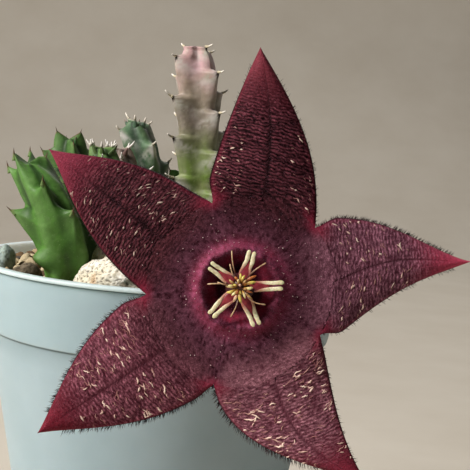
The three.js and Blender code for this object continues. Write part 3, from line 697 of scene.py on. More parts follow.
# Shares of the plastic's colour: on the lip, raised as a painted highlight, on the outside, in the
# corners, lowered as painted shade, and on the inside, raised above white as painted light
LIP_PAINTED_HIGHLIGHT = rgb(255, 255, 255)
OUTER_SHARE = rgb(220, 222, 226)
CORNER_PAINTED_SHADE = rgb(84, 94, 98)
INSIDE_PAINTED_LIGHT = 1.5


def band_radius(z):
    return POT_RIM_RADIUS - LIP_REACH - POT_TAPER * (POT_HEIGHT - z)


def inner_radius(z):
    return band_radius(z) - BAND_STEP - WALL


def arc(middle, radius, start, end, steps):
    """Points of an arc in the pot's profile, by angle in degrees from outward to up."""
    t = np.radians(np.linspace(start, end, steps))
    return [(middle[0] + radius * math.cos(a), middle[1] + radius * math.sin(a)) for a in t]


def pot_profile():
    band_foot = POT_HEIGHT - BAND_HEIGHT
    lip_foot = POT_HEIGHT - LIP_HEIGHT
    foot = band_radius(0) - BAND_STEP
    bead = LIP_HEIGHT / 2
    inside = inner_radius(POT_HEIGHT)
    profile = [(0.01, 0), (foot - FOOT_CHAMFER - 0.3, 0), (foot - FOOT_CHAMFER, 0)]
    profile += arc((foot - FOOT_CHAMFER, FOOT_CHAMFER), FOOT_CHAMFER, -75, 0, 6)
    profile += [(band_radius(z) - BAND_STEP, z) for z in np.linspace(3, band_foot - 0.4, 14)]
    profile += [(band_radius(band_foot) - BAND_STEP, band_foot - 0.12)]
    profile += arc((band_radius(band_foot) - 0.16, band_foot + 0.16), 0.16, -80, 0, 5)
    profile += [(band_radius(z), z) for z in np.linspace(band_foot + 0.5, lip_foot - 0.5, 6)]
    profile += [(band_radius(z) - 0.02, z) for z in (lip_foot - 0.3, lip_foot - 0.22)]
    profile += [(band_radius(lip_foot) - 0.1, lip_foot - 0.1), (band_radius(lip_foot) - 0.1, lip_foot)]
    profile += arc((POT_RIM_RADIUS - bead, POT_HEIGHT - bead), bead, -80, 90, 11)
    profile += arc((inside + 0.25, POT_HEIGHT - 0.25), 0.25, 90, 180, 5)
    profile += [(inner_radius(z), z) for z in np.linspace(POT_HEIGHT - 1, BASE_THICKNESS + 0.5, 14)]
    profile += [(inner_radius(BASE_THICKNESS) - 0.4, BASE_THICKNESS), (0.01, BASE_THICKNESS)]
    return np.array(profile)


def make_pot():
    """The pot's shell, turned from its profile, with its drain holes."""
    shape = Shape()
    shape.wrap(np.stack([circle(radius, z, POT_SIDES) for radius, z in pot_profile()]), pot_paint)
    pot = shape.piece("pot_shell", plastic_look(), "pot_plastic", ["pot"])
    for i in range(DRAIN_HOLES):
        angle = 2 * math.pi * (i + 0.5) / DRAIN_HOLES
        cut_hole(pot, DRAIN_CIRCLE * math.cos(angle), DRAIN_CIRCLE * math.sin(angle))


def pot_paint(points):
    """The pot's paint: painted shade in the corners under the lip and the band, a painted highlight on the
    lip, and painted light inside.
    """
    radius, z = np.hypot(points[:, 0], points[:, 1]), points[:, 2]
    inside = radius < inner_radius(z) + 0.2
    # painted shade: thin dark lines just under the lip and under the band's step
    under = bell(z, POT_HEIGHT - LIP_HEIGHT - 0.05, 0.12) + bell(z, POT_HEIGHT - BAND_HEIGHT - 0.2, 0.16)
    on_lip = z > POT_HEIGHT - LIP_HEIGHT
    paint = np.where(on_lip[:, None], LIP_PAINTED_HIGHLIGHT, OUTER_SHARE)
    paint = np.where(inside[:, None], INSIDE_PAINTED_LIGHT, paint)
    return over(paint, CORNER_PAINTED_SHADE, 0.9 * under * ~inside)


def cut_hole(pot, x, y):
    """Cut one round drain hole up through the pot's base."""
    ends = (-BASE_THICKNESS, 3 * BASE_THICKNESS)
    points, faces = closed_skin(np.stack([circle(DRAIN_RADIUS, z, DRAIN_SIDES, (x, y)) for z in ends]))
    mesh = new_mesh("drain_cutter", points, [f for group in faces for f in group.tolist()])
    cutter = new_object("drain_cutter", mesh)
    cut = pot.modifiers.new("drain", "BOOLEAN")
    cut.operation = "DIFFERENCE"
    cut.solver = "EXACT"
    cut.object = cutter
    bpy.context.view_layer.objects.active = pot
    bpy.ops.object.modifier_apply(modifier=cut.name)
    bpy.data.objects.remove(cutter)
    bpy.data.meshes.remove(mesh)


def soil_height(x, y):
    out = np.hypot(x, y) / inner_radius(SOIL_LEVEL)
    grain = noise(x / SOIL_GRAIN, y / SOIL_GRAIN, 0.5, 7)
    fine = noise(x / SOIL_FINE_GRAIN, y / SOIL_FINE_GRAIN, 4.5, 9)
    return SOIL_LEVEL + SOIL_MOUND * (1 - out * out) + SOIL_RELIEF * (grain + 0.5 * fine)


def make_soil():
    """The soil: a plug that fills the pot, with a crumbly top."""
    floor = BASE_THICKNESS + SOIL_GAP
    side = ((floor, 0.6), (floor, 1), (SOIL_LEVEL - 1.5, 1))
    rings = [circle((inner_radius(z) - SOIL_GAP) * share, z, SOIL_SIDES) for z, share in side]
    for radius in np.linspace(inner_radius(SOIL_LEVEL) - SOIL_GAP, 0.2, SOIL_RINGS):
        ring = circle(radius, 0, SOIL_SIDES)
        x, y = ring[:, 0], ring[:, 1]
        crumb = 0.3 * noise(x / 0.55, y / 0.55, 1.5, 21) + 0.12 * noise(x / 0.25, y / 0.25, 2.5, 22)
        ring[:, 2] = soil_height(x, y) + crumb
        rings.append(ring)
    shape = Shape()
    shape.wrap(np.stack(rings), rgb(*SOIL_COLOUR))
    shape.piece("soil_bed", soil_look(), "soil", ["soil"])


def turned(points, angle):
    c, s = cos_sin(angle)
    return points @ np.array([[c, s, 0], [-s, c, 0], [0, 0, 1]])


def dent_pits(points, normals, seed, count):
    """Sink small round pores into a stone. Returns the points and how deep in a pore each is."""
    draw = np.random.default_rng(seed)
    middles = points[draw.integers(0, len(points), count)]
    radii = draw.uniform(0.4, 1.0, count) * PIT_SIZE
    depth = np.zeros(len(points))
    for middle, radius in zip(middles, radii):
        away = np.linalg.norm(points - middle, axis=1) / radius
        depth = np.maximum(depth, np.clip(1 - away**2, 0, 1) * radius)
    return points - normals * depth[:, None] * 0.8, depth / PIT_SIZE


def make_stone(name):
    """One stone: the lumpy form of its solid with finer bumps, pores darkened by painted shade, and rust."""
    stone = STONES[name]
    spheres, faces = ball(6 if name == "pumice_lump" else 5)
    seed = stone["seed"]
    spot = STONE_BUMPS * spheres + 5
    rough = 1 + STONE_ROUGHNESS * noise(spot[:, 0], spot[:, 1], spot[:, 2], seed)
    points = spheres * np.array(stone["half"]) * rough[:, None]
    normals = unit(spheres / np.array(stone["half"]))
    lumps = 0.16 * noise_at(points, 1.1, seed + 1) + 0.08 * noise_at(points, 0.45, seed + 2)
    smoothness = 1.0 if stone["pits"] else SMOOTH_STONE
    if name == "pumice_lump":
        lumps = lumps + 0.4 * (0.35 - np.abs(noise_at(points, 1.7, seed + 7)))
        lumps = lumps + 0.12 * noise_at(points, 0.25, seed + 8)
    points = points + normals * (smoothness * lumps)[:, None]
    light, dark = [rgb(*c) for c in STONE_COLOURS.get(name, USUAL_STONE)]
    paint = over(light, dark, 0.5 + 0.6 * noise_at(points, 2.4, seed + 3))
    paint = over(paint, dark * 0.7, smooth(1.6 * noise_at(points, 0.35, seed + 6) - 0.1))
    rusty = 0.55 * (name not in STONE_SLOTS)
    paint = over(paint, rgb(*RUST), rusty * smooth((noise_at(points, 1.3, seed + 4) - 0.3) / 0.5))
    if stone["pits"]:
        points, pore = dent_pits(points, normals, seed + 5, stone["pits"])
        # painted shade: pores are darker the deeper they are
        paint = over(paint, rgb(*PORE_PAINTED_SHADE), 0.9 * smooth(pore / 0.6))
    points = turned(points, stone["turn"]) + np.array(stone["at"])
    shape = Shape()
    shape.add(points, [faces], paint)
    look = stone_look(name + "_stone", *STONE_GRAIN)
    shape.piece(name + "_surface", look, STONE_SLOTS.get(name, "pale_stone"), [name])


def free_of_stems(x, y):
    """True where a grain lies clear of the stems."""
    clear = np.hypot(x, y) < inner_radius(SOIL_LEVEL) - GRIT_EDGE
    for stem in STEMS.values():
        clear &= np.hypot(x - stem["foot"][0], y - stem["foot"][1]) > 0.8 * stem["radius"]
    return clear


def make_grit(name):
    """Loose grains of one kind, sunk a little into the top of the soil."""
    kind = GRIT[name]
    draw = np.random.default_rng(kind["seed"])
    spheres, faces = ball(2)
    shape = Shape()
    light, dark = [rgb(*c) for c in kind["colours"]]
    radius = (inner_radius(SOIL_LEVEL) - GRIT_EDGE) * np.sqrt(draw.random(kind["count"]))
    angle = draw.uniform(0, 360, kind["count"])
    for r, t in zip(radius, angle):
        x, y = [r * part for part in cos_sin(t)]
        size = draw.uniform(*kind["size"]) * draw.uniform(0.7, 1, 3)
        dents = 1 + 0.28 * noise_at(spheres * 1.3 + draw.uniform(0, 40, 3), 1.0, kind["seed"])
        turn = draw.uniform(0, 360)
        shade = draw.uniform(0, 1)
        if not free_of_stems(x, y):
            continue
        grain = turned(spheres * dents[:, None] * size, turn)
        height = soil_height(np.array([x]), np.array([y]))[0] + 0.25 * size.max()
        shape.add(grain + np.array([x, y, height]), [faces], mix(light, dark, shade))
    look = stone_look(name + "_stone", *GRIT_GRAIN)
    shape.piece(name, look, kind["slot"])


# Stems


def stem_length(stem):
    return stem["top"][2] - STEM_FOOT


def stem_middle(stem, h):
    """The stem's middle line at heights above its foot."""
    foot = np.array([*stem["foot"], STEM_FOOT], float)
    t = (np.asarray(h, float) / stem_length(stem))[..., None]
    return foot + (np.array(stem["top"]) - foot) * t + np.array(stem["bow"]) * 4 * t * (1 - t)


def core_radius(stem, h):
    """Narrow at the soil, full above it, slowly tapering and rounded off at the crown."""
    length = stem_length(stem)
    waist = mix(WAIST, 1, smooth((h - WAIST_START) / WAIST_RUN))
    past = np.maximum(0, (h - length + CROWN) / CROWN_REACH)
    blunt = BLUNT_CROWN if stem["tooth"] == "ledge" else CROWN_FLAT
    crown = np.sqrt(np.maximum(blunt, 1 - past**2))
    return stem["radius"] * waist * crown * mix(1, TAPER, h / length)


def teeth_of(stem):
    """Each tooth as height, direction round the stem, reach and rise."""
    if "pitch" not in stem:
        return LEFT_TEETH
    kind = TEETH[stem["tooth"]]
    length = stem_length(stem)
    teeth = []
    for angle, shift in enumerate(stem.get("shift", USUAL_SHIFT)):
        h = stem["first"] + shift * stem["pitch"]
        k = 0
        while h < length + 0.5:
            size = 1 + STEM_JITTER * noise(k + 0.5, angle + 0.5, stem["pitch"], 17)[0]
            near_top = smooth((h - length + 2 * CROWN) / (2 * CROWN))
            on_crown = smooth((h - length + CROWN) / CROWN)
            reach = kind["reach"] * size * mix(1, CROWN_TOOTH_REACH, on_crown)
            rise = kind["rise"] * size * size * mix(1, CROWN_TOOTH_RISE, near_top)
            teeth.append((min(length, math.floor(h + 0.5)), 90 * angle + stem["turn"], reach, rise))
            h += stem["pitch"] * mix(1, CROWN_CROWDING, near_top)
            k += 1
    return teeth


def tooth_share(height, around, kind, h, angle):
    """1 at the tooth's tip and 0 outside it, for heights and directions of the stem's skin."""
    below = np.maximum(0, 1 + (h - height) / kind["drop"]) ** kind["flare"]
    above = 1 - (h - height) / kind["shoulder"]
    aside = np.maximum(0, 1 - turn_between(angle, around) / kind["spread"]) ** TOOTH_POINT
    return np.maximum(0, np.minimum(below, above)) * aside * smooth((h - SOIL_MARGIN) / 1.5)


def stem_skin(stem, heights, angles):
    """Points of the stem's skin for heights by directions, and how far up a tooth each one is."""
    kind = TEETH[stem["tooth"]]
    h = np.asarray(heights, float)[:, None]
    angle = np.asarray(angles, float)[None, :]
    radius = core_radius(stem, h) * (1 + STEM_ANGULARITY * np.cos(4 * np.radians(angle - stem["turn"])))
    points = stem_middle(stem, h) + outward(angle) * radius[..., None]
    along = unit(np.array(stem["top"]) - np.array([*stem["foot"], STEM_FOOT]))
    most = np.zeros(radius.shape)
    for height, around, reach, rise in teeth_of(stem):
        share = tooth_share(height, around, kind, h, angle)
        points = points + outward(around) * (reach * share)[..., None]
        points = points + along * (rise * share ** kind["steep"])[..., None]
        most = np.maximum(most, share)
    return points, most


# Colours of each kind of stem: skin low down, skin near the top, painted shade of the furrows, pale crest
# colour that paints highlights and bloom, tooth tip
PALETTES = {
    "green": ((72, 120, 36), (82, 130, 54), (26, 60, 12), (126, 162, 100), (112, 66, 50)),
    "deep": ((58, 100, 40), (76, 116, 54), (26, 54, 18), (120, 150, 92), (118, 84, 64)),
    "blue": ((62, 96, 62), (80, 112, 82), (30, 54, 36), (132, 154, 122), (206, 198, 178)),
    "purple": ((86, 92, 66), (122, 104, 100), (60, 56, 50), (156, 138, 128), (214, 206, 188)),
    "pale": ((66, 104, 50), (96, 132, 70), (40, 62, 34), (140, 160, 112), (150, 136, 110)),
    "grey": ((116, 142, 60), (218, 174, 184), (66, 56, 46), (204, 190, 182), (50, 36, 32)),
}
TOOTH_PAINTED_HIGHLIGHT = rgb(214, 208, 206)
GREY_BAND = rgb(130, 114, 108)
BAND_MIDDLE = 71.5
CROWN_PINK = rgb(228, 170, 180)
CROWN_FURROW_SHADE = rgb(86, 56, 56)


def stem_paint(stem, points, share, h, angle):
    """Colours of a stem's skin, by place, share of a tooth, height above its foot and direction, with painted
    shade in the furrows and painted highlights on the ribs, on the teeth and below them.
    """
    grey = stem["palette"] == "grey"
    low, high, furrow, crest, tip = [rgb(*c) for c in PALETTES[stem["palette"]]]
    start = 0.6 if grey else 0.45
    paint = over(low, high, smooth((h / stem_length(stem) - start) / 0.4) + 0.15 * noise_at(points, 2.5, 31))
    if grey:
        paint = over(paint, GREY_BAND, 0.85 * bell(points[..., 2], BAND_MIDDLE, 4.5))
    rib = np.cos(4 * np.radians(angle - stem["turn"]))
    # painted shade in the furrows between the ribs, stronger higher up
    deep = mix(0.3, 0.85, smooth((h - 8) / 6)) * (0.45 if grey else 1)
    paint = over(paint, furrow, deep * smooth(-rib) * (1 - share))
    streak = smooth(0.5 + 0.9 * noise(angle / 7, h / 1.8, 0.5, 33))
    on_tooth = smooth((share - 0.25) / 0.5) * (1 - smooth((share - 0.8) / 0.15))
    # painted highlights in the crest colour: streaks on the teeth and a paler band along every rib
    paint = over(paint, crest, 0.5 * streak * on_tooth)
    paint = over(paint, crest, 0.25 * smooth(rib) * (1 - share))
    bloom = smooth(noise_at(points, 0.8, 38) + 0.7 * noise_at(points, 0.3, 39))
    paint = over(paint, crest, 0.3 * bloom * smooth(rib + 0.6))
    paint = paint * (1 + 0.16 * noise_at(points, 0.32, 44))[..., None]
    if stem["palette"] in ("grey", "blue"):
        # painted highlights below each tooth of the grey and blue stems
        paint = over(paint, TOOTH_PAINTED_HIGHLIGHT, tooth_highlights(stem, points, h, angle))
    if grey:
        crown = smooth((h - stem_length(stem) + 2.6) / 1.2)
        paint = over(paint, CROWN_PINK, 0.7 * crown * smooth(0.6 - np.abs(rib + 0.1)))
        # painted shade: a dark furrow down the crown of the grey stem
        paint = over(paint, CROWN_FURROW_SHADE, 0.8 * crown * smooth((-rib - 0.6) / 0.3))
    return over(paint, tip, smooth((share - (0.78 if grey else 0.86)) / 0.08))


def tooth_highlights(stem, points, h, angle):
    """Painted highlights: pale cloudy patches that run from each tooth down and aside."""
    cloud = smooth(0.75 + 0.6 * noise_at(points, 0.9, 37) + 0.55 * noise_at(points, 0.28, 40))
    most = np.zeros(np.broadcast_shapes(h.shape, angle.shape))
    for height, around, _, _ in teeth_of(stem):
        gap = turn_between(angle, around)
        middle = height - 0.2 - 0.035 * gap
        drop = np.where(h > middle, (h - middle) / 0.55, (middle - h) / 1.3)
        most = np.maximum(most, np.exp(-((gap / 34) ** 2) - drop**2))
    return most * cloud


def make_stem(name):
    """One stem's skin and the small leaves on its teeth."""
    stem = STEMS[name]
    length = stem_length(stem)
    angles = np.linspace(0, 360, STEM_SIDES, endpoint=False) + stem["turn"]
    heights = np.append(np.arange(STEM_START, length - 0.05, STEM_STEP), length)
    rings, share = stem_skin(stem, heights, angles)
    paint = stem_paint(stem, rings, share, heights[:, None], angles[None, :])
    bumps = 0.12 * noise_at(rings, 1.9, 35) + 0.04 * noise_at(rings, 0.6, 36)
    rings = rings + outward(angles)[None] * (bumps * (1 - share))[..., None]
    middle = rings[-1].mean(0)
    middle[2] = stem["top"][2] + 0.2
    cap = [mix(rings[-1], middle, t) for t in CAP_STEPS]
    rings = np.concatenate([rings, np.stack(cap)])
    paint = np.concatenate([paint, np.repeat(paint[-1:], len(cap), 0)])
    points, faces = closed_skin(rings)
    shape = Shape()
    shape.add(points, faces, np.concatenate([paint.reshape(-1, 3), paint[0, :1], paint[-1, :1]]))
    if name == "stem_flowering":
        add_stalk(shape)
    slot = STEM_SLOTS.get(name, "green_stem")
    speck = (206, 196, 184) if slot == "grey_stem" else (190, 204, 160)
    shape.piece(name + "_skin", stem_look(name + "_flesh", speck), slot, [name])
    make_bristles(name, slot)


def add_stalk(shape):
    """The flower's stalk, the cup that it ends in, and the five sepals behind the flower."""
    green, red = [rgb(*c) for c in STALK_COLOURS]
    route = spline(STALK_ROUTE, STALK_STEPS)
    radius = STALK_RADIUS * (1 + 0.05 * noise(np.arange(STALK_STEPS) / 5, 0.5, 0.5, 41))
    rings = tube_rings(route, radius, radius, STALK_SIDES, (1, 0, 0))
    shape.wrap(rings, lambda points: over(green, red, 0.5 + 0.5 * noise_at(points, 2, 42)))
    depth, radius = spline(CALYX, CUP_STEPS).T
    cup = np.stack([0 * depth, 0 * depth, -depth], -1)
    shape.wrap(tube_rings(cup, radius, radius, CUP_SIDES, (1, 0, 0)), green, on_flower)
    out, up, wide, thick = spline(SEPAL, SEPAL_STEPS).T
    for lobe in LOBES:
        c, s = cos_sin(lobe["notch"][0])
        rings = tube_rings(np.stack([out * c, out * s, up], -1), wide, thick, SEPAL_SIDES)
        shape.wrap(rings, lambda points: over(green, red, noise_at(points, 1.2, 43)), on_flower)


# The small leaf on the tip of every tooth, on each kind of stem: its length, its width, how far
# it bends up, how blunt it is, and its colours at the root and at the point
SPIKES = {
    "grey": (1.3, 0.38, 0.3, 0.7, (216, 206, 176), (252, 248, 236)),
    "blue": (0.7, 0.34, 0.4, 0.8, (206, 198, 178), (246, 240, 226)),
    "purple": (0.85, 0.46, 0.5, 0.45, (240, 234, 228), (252, 250, 246)),
    "pale": (0.8, 0.42, 0.5, 0.4, (222, 220, 206), (250, 248, 242)),
    "deep": (0.45, 0.5, 0.15, 0.05, (80, 112, 58), (84, 58, 40)),
    "green": (0.5, 0.62, 0.1, 0.05, (104, 132, 70), (92, 58, 42)),
}

# Young teeth at a stem's top: how many, how far they stand out, and the colours of their foot and tip
BUDS = {
    "stem_back_left": (3, 1.0, (56, 104, 46), (92, 66, 50)),
    "stem_middle_short": (6, 1.3, (80, 108, 54), (66, 58, 44)),
    "stem_middle_purple": (3, 0.8, (112, 86, 80), (150, 112, 112)),
    "stem_middle_dark": (4, 0.9, (82, 112, 88), (176, 146, 136)),
}
LEAFY_BUDS = 0.6
BUD_WIDTH = 0.9
BUD_DEPTH = 0.9
BUD_CIRCLE = 0.42
SPIKE_STEPS = 9
SPIKE_SIDES = 10
SPIKE_TURN = (0.3, 0.2, 1)
CLAW_BLUNTNESS = 0.3


def add_spike(shape, root, lean, length, kind, draw):
    """One small leaf: a slim tapering spike that bends upwards, with a knob at its root if blunt."""
    _, width, bend, blunt, base, point = SPIKES[kind]
    t = np.linspace(0, 1, SPIKE_STEPS)
    rise = bend * length * t**2
    route = root + lean * (length * t)[:, None] + np.array([0, 0, 1]) * rise[:, None]
    half = width / 2 * mix(1, blunt, t**0.8) * np.sqrt(1 - (0.96 * t) ** 6)

    def colours(points):
        far = np.linalg.norm(points - root, axis=1) / length
        return over(rgb(*base), rgb(*point), smooth((far - 0.35) / 0.4))

    shape.wrap(tube_rings(route, half, half, SPIKE_SIDES, SPIKE_TURN), colours)
    if blunt > CLAW_BLUNTNESS:
        knob, knob_faces = ball(2)
        size = width * 0.62 * draw.uniform(0.8, 1.1)
        shape.add(knob * size + root, [knob_faces], rgb(*base) * draw.uniform(0.8, 1.0))


def add_buds(shape, name, draw):
    """The young teeth that crowd round a stem's growing point, some with a small leaf."""
    stem = STEMS[name]
    leaf = stem["palette"]
    count, size, foot, tip = BUDS[name]
    top = stem_middle(stem, stem_length(stem) - BUD_DEPTH)
    t = np.linspace(0, 1, SPIKE_STEPS)
    half = BUD_WIDTH / 2 * (1 - t**1.6) + 0.04
    for i in range(count):
        out = outward(np.float64(stem["turn"] + 360 * (i + 0.5) / count + draw.normal(0, 10)))
        lean = unit(out * draw.uniform(0.25, 0.8) + np.array([0, 0, 1]))
        length = size * draw.uniform(0.6, 1.2) + BUD_DEPTH
        route = top + BUD_CIRCLE * stem["radius"] * out + lean * (length * t)[:, None]

        def colours(points):
            height = (points - route[0]) @ lean / length
            return over(rgb(*foot), rgb(*tip), smooth((height - 0.6) / 0.4))

        shape.wrap(tube_rings(route, half, 0.7 * half, SPIKE_SIDES, SPIKE_TURN), colours)
        if draw.random() < LEAFY_BUDS:
            add_spike(shape, route[-2], lean, 0.6 * SPIKES[leaf][0], leaf, draw)


def make_bristles(name, slot):
    """The small leaves on the tips of a stem's teeth. On green stems they are short claws."""
    stem = STEMS[name]
    kind = stem["palette"]
    length, _, _, blunt, _, _ = SPIKES[kind]
    draw = np.random.default_rng(sum(map(ord, name)))
    shape = Shape()
    for height, around, reach, rise in teeth_of(stem):
        tip = stem_skin(stem, [height], [around])[0][0, 0]
        if blunt < CLAW_BLUNTNESS:
            slope, wobble, sunk = 1.4 * rise / reach, 0.05, 1.1
        else:
            slope, wobble, sunk = (0.25 if kind == "grey" else 0.9) * rise, 0.16, 0.15
        lean = unit(outward(np.float64(around)) + np.array([0, 0, slope]) + draw.normal(0, wobble, 3))
        add_spike(shape, tip - sunk * lean, lean, length * draw.uniform(0.6, 1.15) + sunk, kind, draw)
    if name in BUDS:
        add_buds(shape, name, draw)
    shape.piece(name + "_bristles", hair_look(name + "_bristle"), slot)


# Flower


def on_flower(points):
    """Points given about the flower's own middle, facing +Z, put in place on the plant."""
    c, s = math.cos(FLOWER_PITCH), math.sin(FLOWER_PITCH)
    x, y, z = points[..., 0], points[..., 1], points[..., 2]
    return np.stack([x, c * y - s * z, s * y + c * z], -1) + np.array(FLOWER_CENTRE)


def disc_front(radius):
    pit = PIT_FLOOR * (1 - smooth((radius - 2.6) / 2))
    return pit + ANNULUS_HEIGHT * bell(radius, ANNULUS_RADIUS, ANNULUS_WIDTH)


def disc_back(radius):
    return -PETAL_THICKNESS - (CUP_DEPTH - PETAL_THICKNESS) * (1 - smooth(radius / CUP_RADIUS))


def notches_of(k):
    """The notches on the near and far side of a lobe, as angle from its direction and radius."""
    found = []
    for angle, radius in (LOBES[k - 1]["notch"], LOBES[k]["notch"]):
        found.append((math.radians((angle - LOBES[k]["angle"] + 540) % 360 - 180), radius))
    return found


def lobe_place(k, f, s):
    """Place on a lobe at share f from the notches to the tip, and s from -1 to 1 across it."""
    lobe = LOBES[k]
    near, far = notches_of(k)
    angle = np.where(s > 0, far[0], near[0])
    radius = np.where(s > 0, far[1], near[1])
    chord = np.abs(radius * np.sin(angle))
    shape = (1 - f ** lobe["full"]) * (1 - lobe["nose"] * f * f)
    half = mix(chord, lobe["half"], smooth(f / 0.16)) * shape
    x = mix(mix(radius, lobe["length"], f), mix(radius * np.cos(angle), lobe["length"], f), s * s)
    y = half * s + lobe["sway"] * f ** lobe["bend"] + lobe["arch"] * np.sin(np.pi * f)
    return x, y, half


def lobe_height(k, f, s):
    """Height of a lobe's face: it lifts towards its tip, drops at its edges and is creased."""
    drop = EDGE_DROP * s * s * smooth(f / 0.3) * (1 - 0.4 * f)
    crease = CREASE_DEPTH * bell(s, 0, CREASE_WIDTH) * smooth((f - 0.3) / 0.5) * (1 - f)
    return LOBES[k]["lift"] * f * f - drop - crease


def lobe_grid(k, across):
    """Places of one lobe's whole grid, from the middle of the flower to its tip, in its own frame.

    The first rows of the disc are round, and the rest reach out to the notches. Returns x, y, the
    share f along the free lobe (0 on the disc) and s across, row by row.
    """
    near, far = notches_of(k)
    s = across[None, :]
    side = (s + 1) / 2
    t = mix(near[0], far[0], side)
    notch_radius = mix(near[1], far[1], side)
    rows = np.linspace(0, 1, DISC_ROWS)[:, None]
    outer = (rows - ROUND_ROWS) / (1 - ROUND_ROWS)
    round_part = mix(DISC_MIDDLE, DISC_RIM, rows / ROUND_ROWS)
    radius = np.where(rows < ROUND_ROWS, round_part, mix(DISC_RIM, notch_radius, outer))
    f = np.linspace(0, 1, LOBE_ROWS + 2)[1:-1, None]
    x, y, _ = lobe_place(k, f, s)
    along = np.concatenate([np.zeros_like(radius), np.broadcast_to(f, x.shape)])
    x = np.concatenate([radius * np.cos(t), x])
    y = np.concatenate([radius * np.sin(t), y])
    return x, y, along, np.broadcast_to(s, x.shape)


def turned_by(angle, x, y):
    """Level places turned about the middle by an angle in degrees."""
    c, s = cos_sin(angle)
    return c * x - s * y, s * x + c * y


def ridges(x, y, seed):
    """Height from 0 to 1 of wavy ripples that run across a lobe, x along it and y across it."""
    phase = x / RIDGE_PITCH + 0.6 * noise(x / 1.6, y / 1.6, 0.5, seed)
    phase = phase + 0.55 * noise(x / 0.5, y / 0.42, 3.5, seed)
    ripple = 0.5 + 0.5 * np.cos(2 * np.pi * phase)
    strength = 0.78 + 0.55 * noise(x / 0.4, y / 0.5, 5.5, seed)
    fine = 1 - 2.1 * np.abs(noise(x / 0.2, y / 0.32, 2.5, seed))
    return np.clip(ripple * strength + 0.45 * fine, 0, 1)


def crumple(x, y, seed):
    """Height from 0 to 1 of ridges that run in all directions."""
    broad = 1 - 2.1 * np.abs(noise(x / 0.42, y / 0.42, 1.5, seed))
    fine = 1 - 2.1 * np.abs(noise(x / 0.22, y / 0.22, 2.5, seed))
    return np.clip(0.6 * broad + 0.4 * fine, 0, 1)


def calm_of(f, s):
    """How far the ridges stand: fully near the disc, hardly on the tip, and not on the free edges."""
    middle = 1 - 0.5 * bell(s, 0, 0.03) * smooth(f / 0.1)
    rim = 1 - smooth((np.abs(s) - 0.95) / 0.05) * (f > 0)
    return (1 - 0.75 * smooth((f - 0.6) / 0.35)) * middle * rim


# Colours of the flower that all lobes share, on its face and on its back
CRIMSON = rgb(162, 50, 76)
DISC_DARK = rgb(52, 17, 28)
DISC_RIDGE = rgb(134, 82, 102)
RING_DARK = rgb(126, 42, 64)
RING_LIGHT = rgb(200, 104, 142)
PIT_WALL = rgb(164, 42, 68)
# the pit's own dark colour, laid on as painted shade that deepens towards its middle
PIT_DARK = rgb(50, 10, 22)
CREAM = rgb(255, 236, 220)
TAWNY = rgb(220, 158, 144)
MARK_END = rgb(132, 74, 76)
BACK_TAN = rgb(146, 116, 96)
BACK_RED = rgb(136, 72, 80)
BACK_VEIN = rgb(112, 40, 56)
BACK_GREEN = rgb(102, 108, 62)


def base_shade(k, radius):
    """How much darker a lobe is by the disc than farther out."""
    return mix(LOBES[k]["base"], 1, smooth((radius - 9) / 8))[..., None]


def dark_veins(f, s):
    """The dark lines along a lobe: one down its middle and a fainter one on each side."""
    vein = 0.65 * bell(s, 0, 0.022) * smooth(f / 0.1) * (1 - smooth((f - 0.85) / 0.12))
    for side in (-0.42, 0.42):
        vein = vein + 0.35 * bell(s, side, 0.022) * smooth((f - 0.2) / 0.15) * (1 - smooth((f - 0.7) / 0.15))
    return vein


def lobe_paint(k, x, y, f, s, ridge):
    """Paint of a lobe: valleys deepened by painted shade, ridges paled by a painted shine with painted
    glints, a stippled tip, veins and a crimson edge.
    """
    lobe = LOBES[k]
    valley, crest, tip = [rgb(*lobe[part]) for part in ("valley", "ridge", "tip")]
    patch = 0.5 + 0.5 * noise(x / 2.2, y / 1.6, 0.5, 81 + k)
    painted_glint = smooth((noise(x / 0.17, y / 0.3, 4.5, 85 + k) - 0.25) / 0.4)
    nap = 1 - 0.3 * smooth(0.5 + 1.5 * noise(x / 0.16, y / 0.2, 7.5, 83 + k))
    # painted shade in the valleys and a painted shine on the ridges, then painted glints over them
    paint = over(valley, crest, ridge**RIDGE_SHARPNESS * mix(0.8, 1.1, patch))
    paint = over(paint, 1.4 * crest, 0.4 * painted_glint * ridge**2)
    paint = paint * base_shade(k, np.hypot(x, y)) * nap[..., None]
    stipple = 0.5 + 0.5 * noise(x / 0.3, y / 0.2, 6.5, 88 + k)
    on_tip = smooth((f - 0.5) / 0.48) * mix(0.75, 1, patch)
    paint = over(paint, tip * mix(0.72, 1.1, stipple)[..., None], on_tip)
    paint = over(paint, 0.5 * valley, 0.7 * lobe["vein"] * dark_veins(f, s))
    paint = over(paint, CRIMSON, 0.25 * bell(np.abs(s), 0.94, 0.04))
    paint = over(paint, 0.5 * valley, smooth((np.abs(s) - 0.972) / 0.02))
    return over(paint, CRIMSON, 0.6 * smooth((np.abs(s) - 0.6) / 0.35) * bell(f, 0, 0.07))


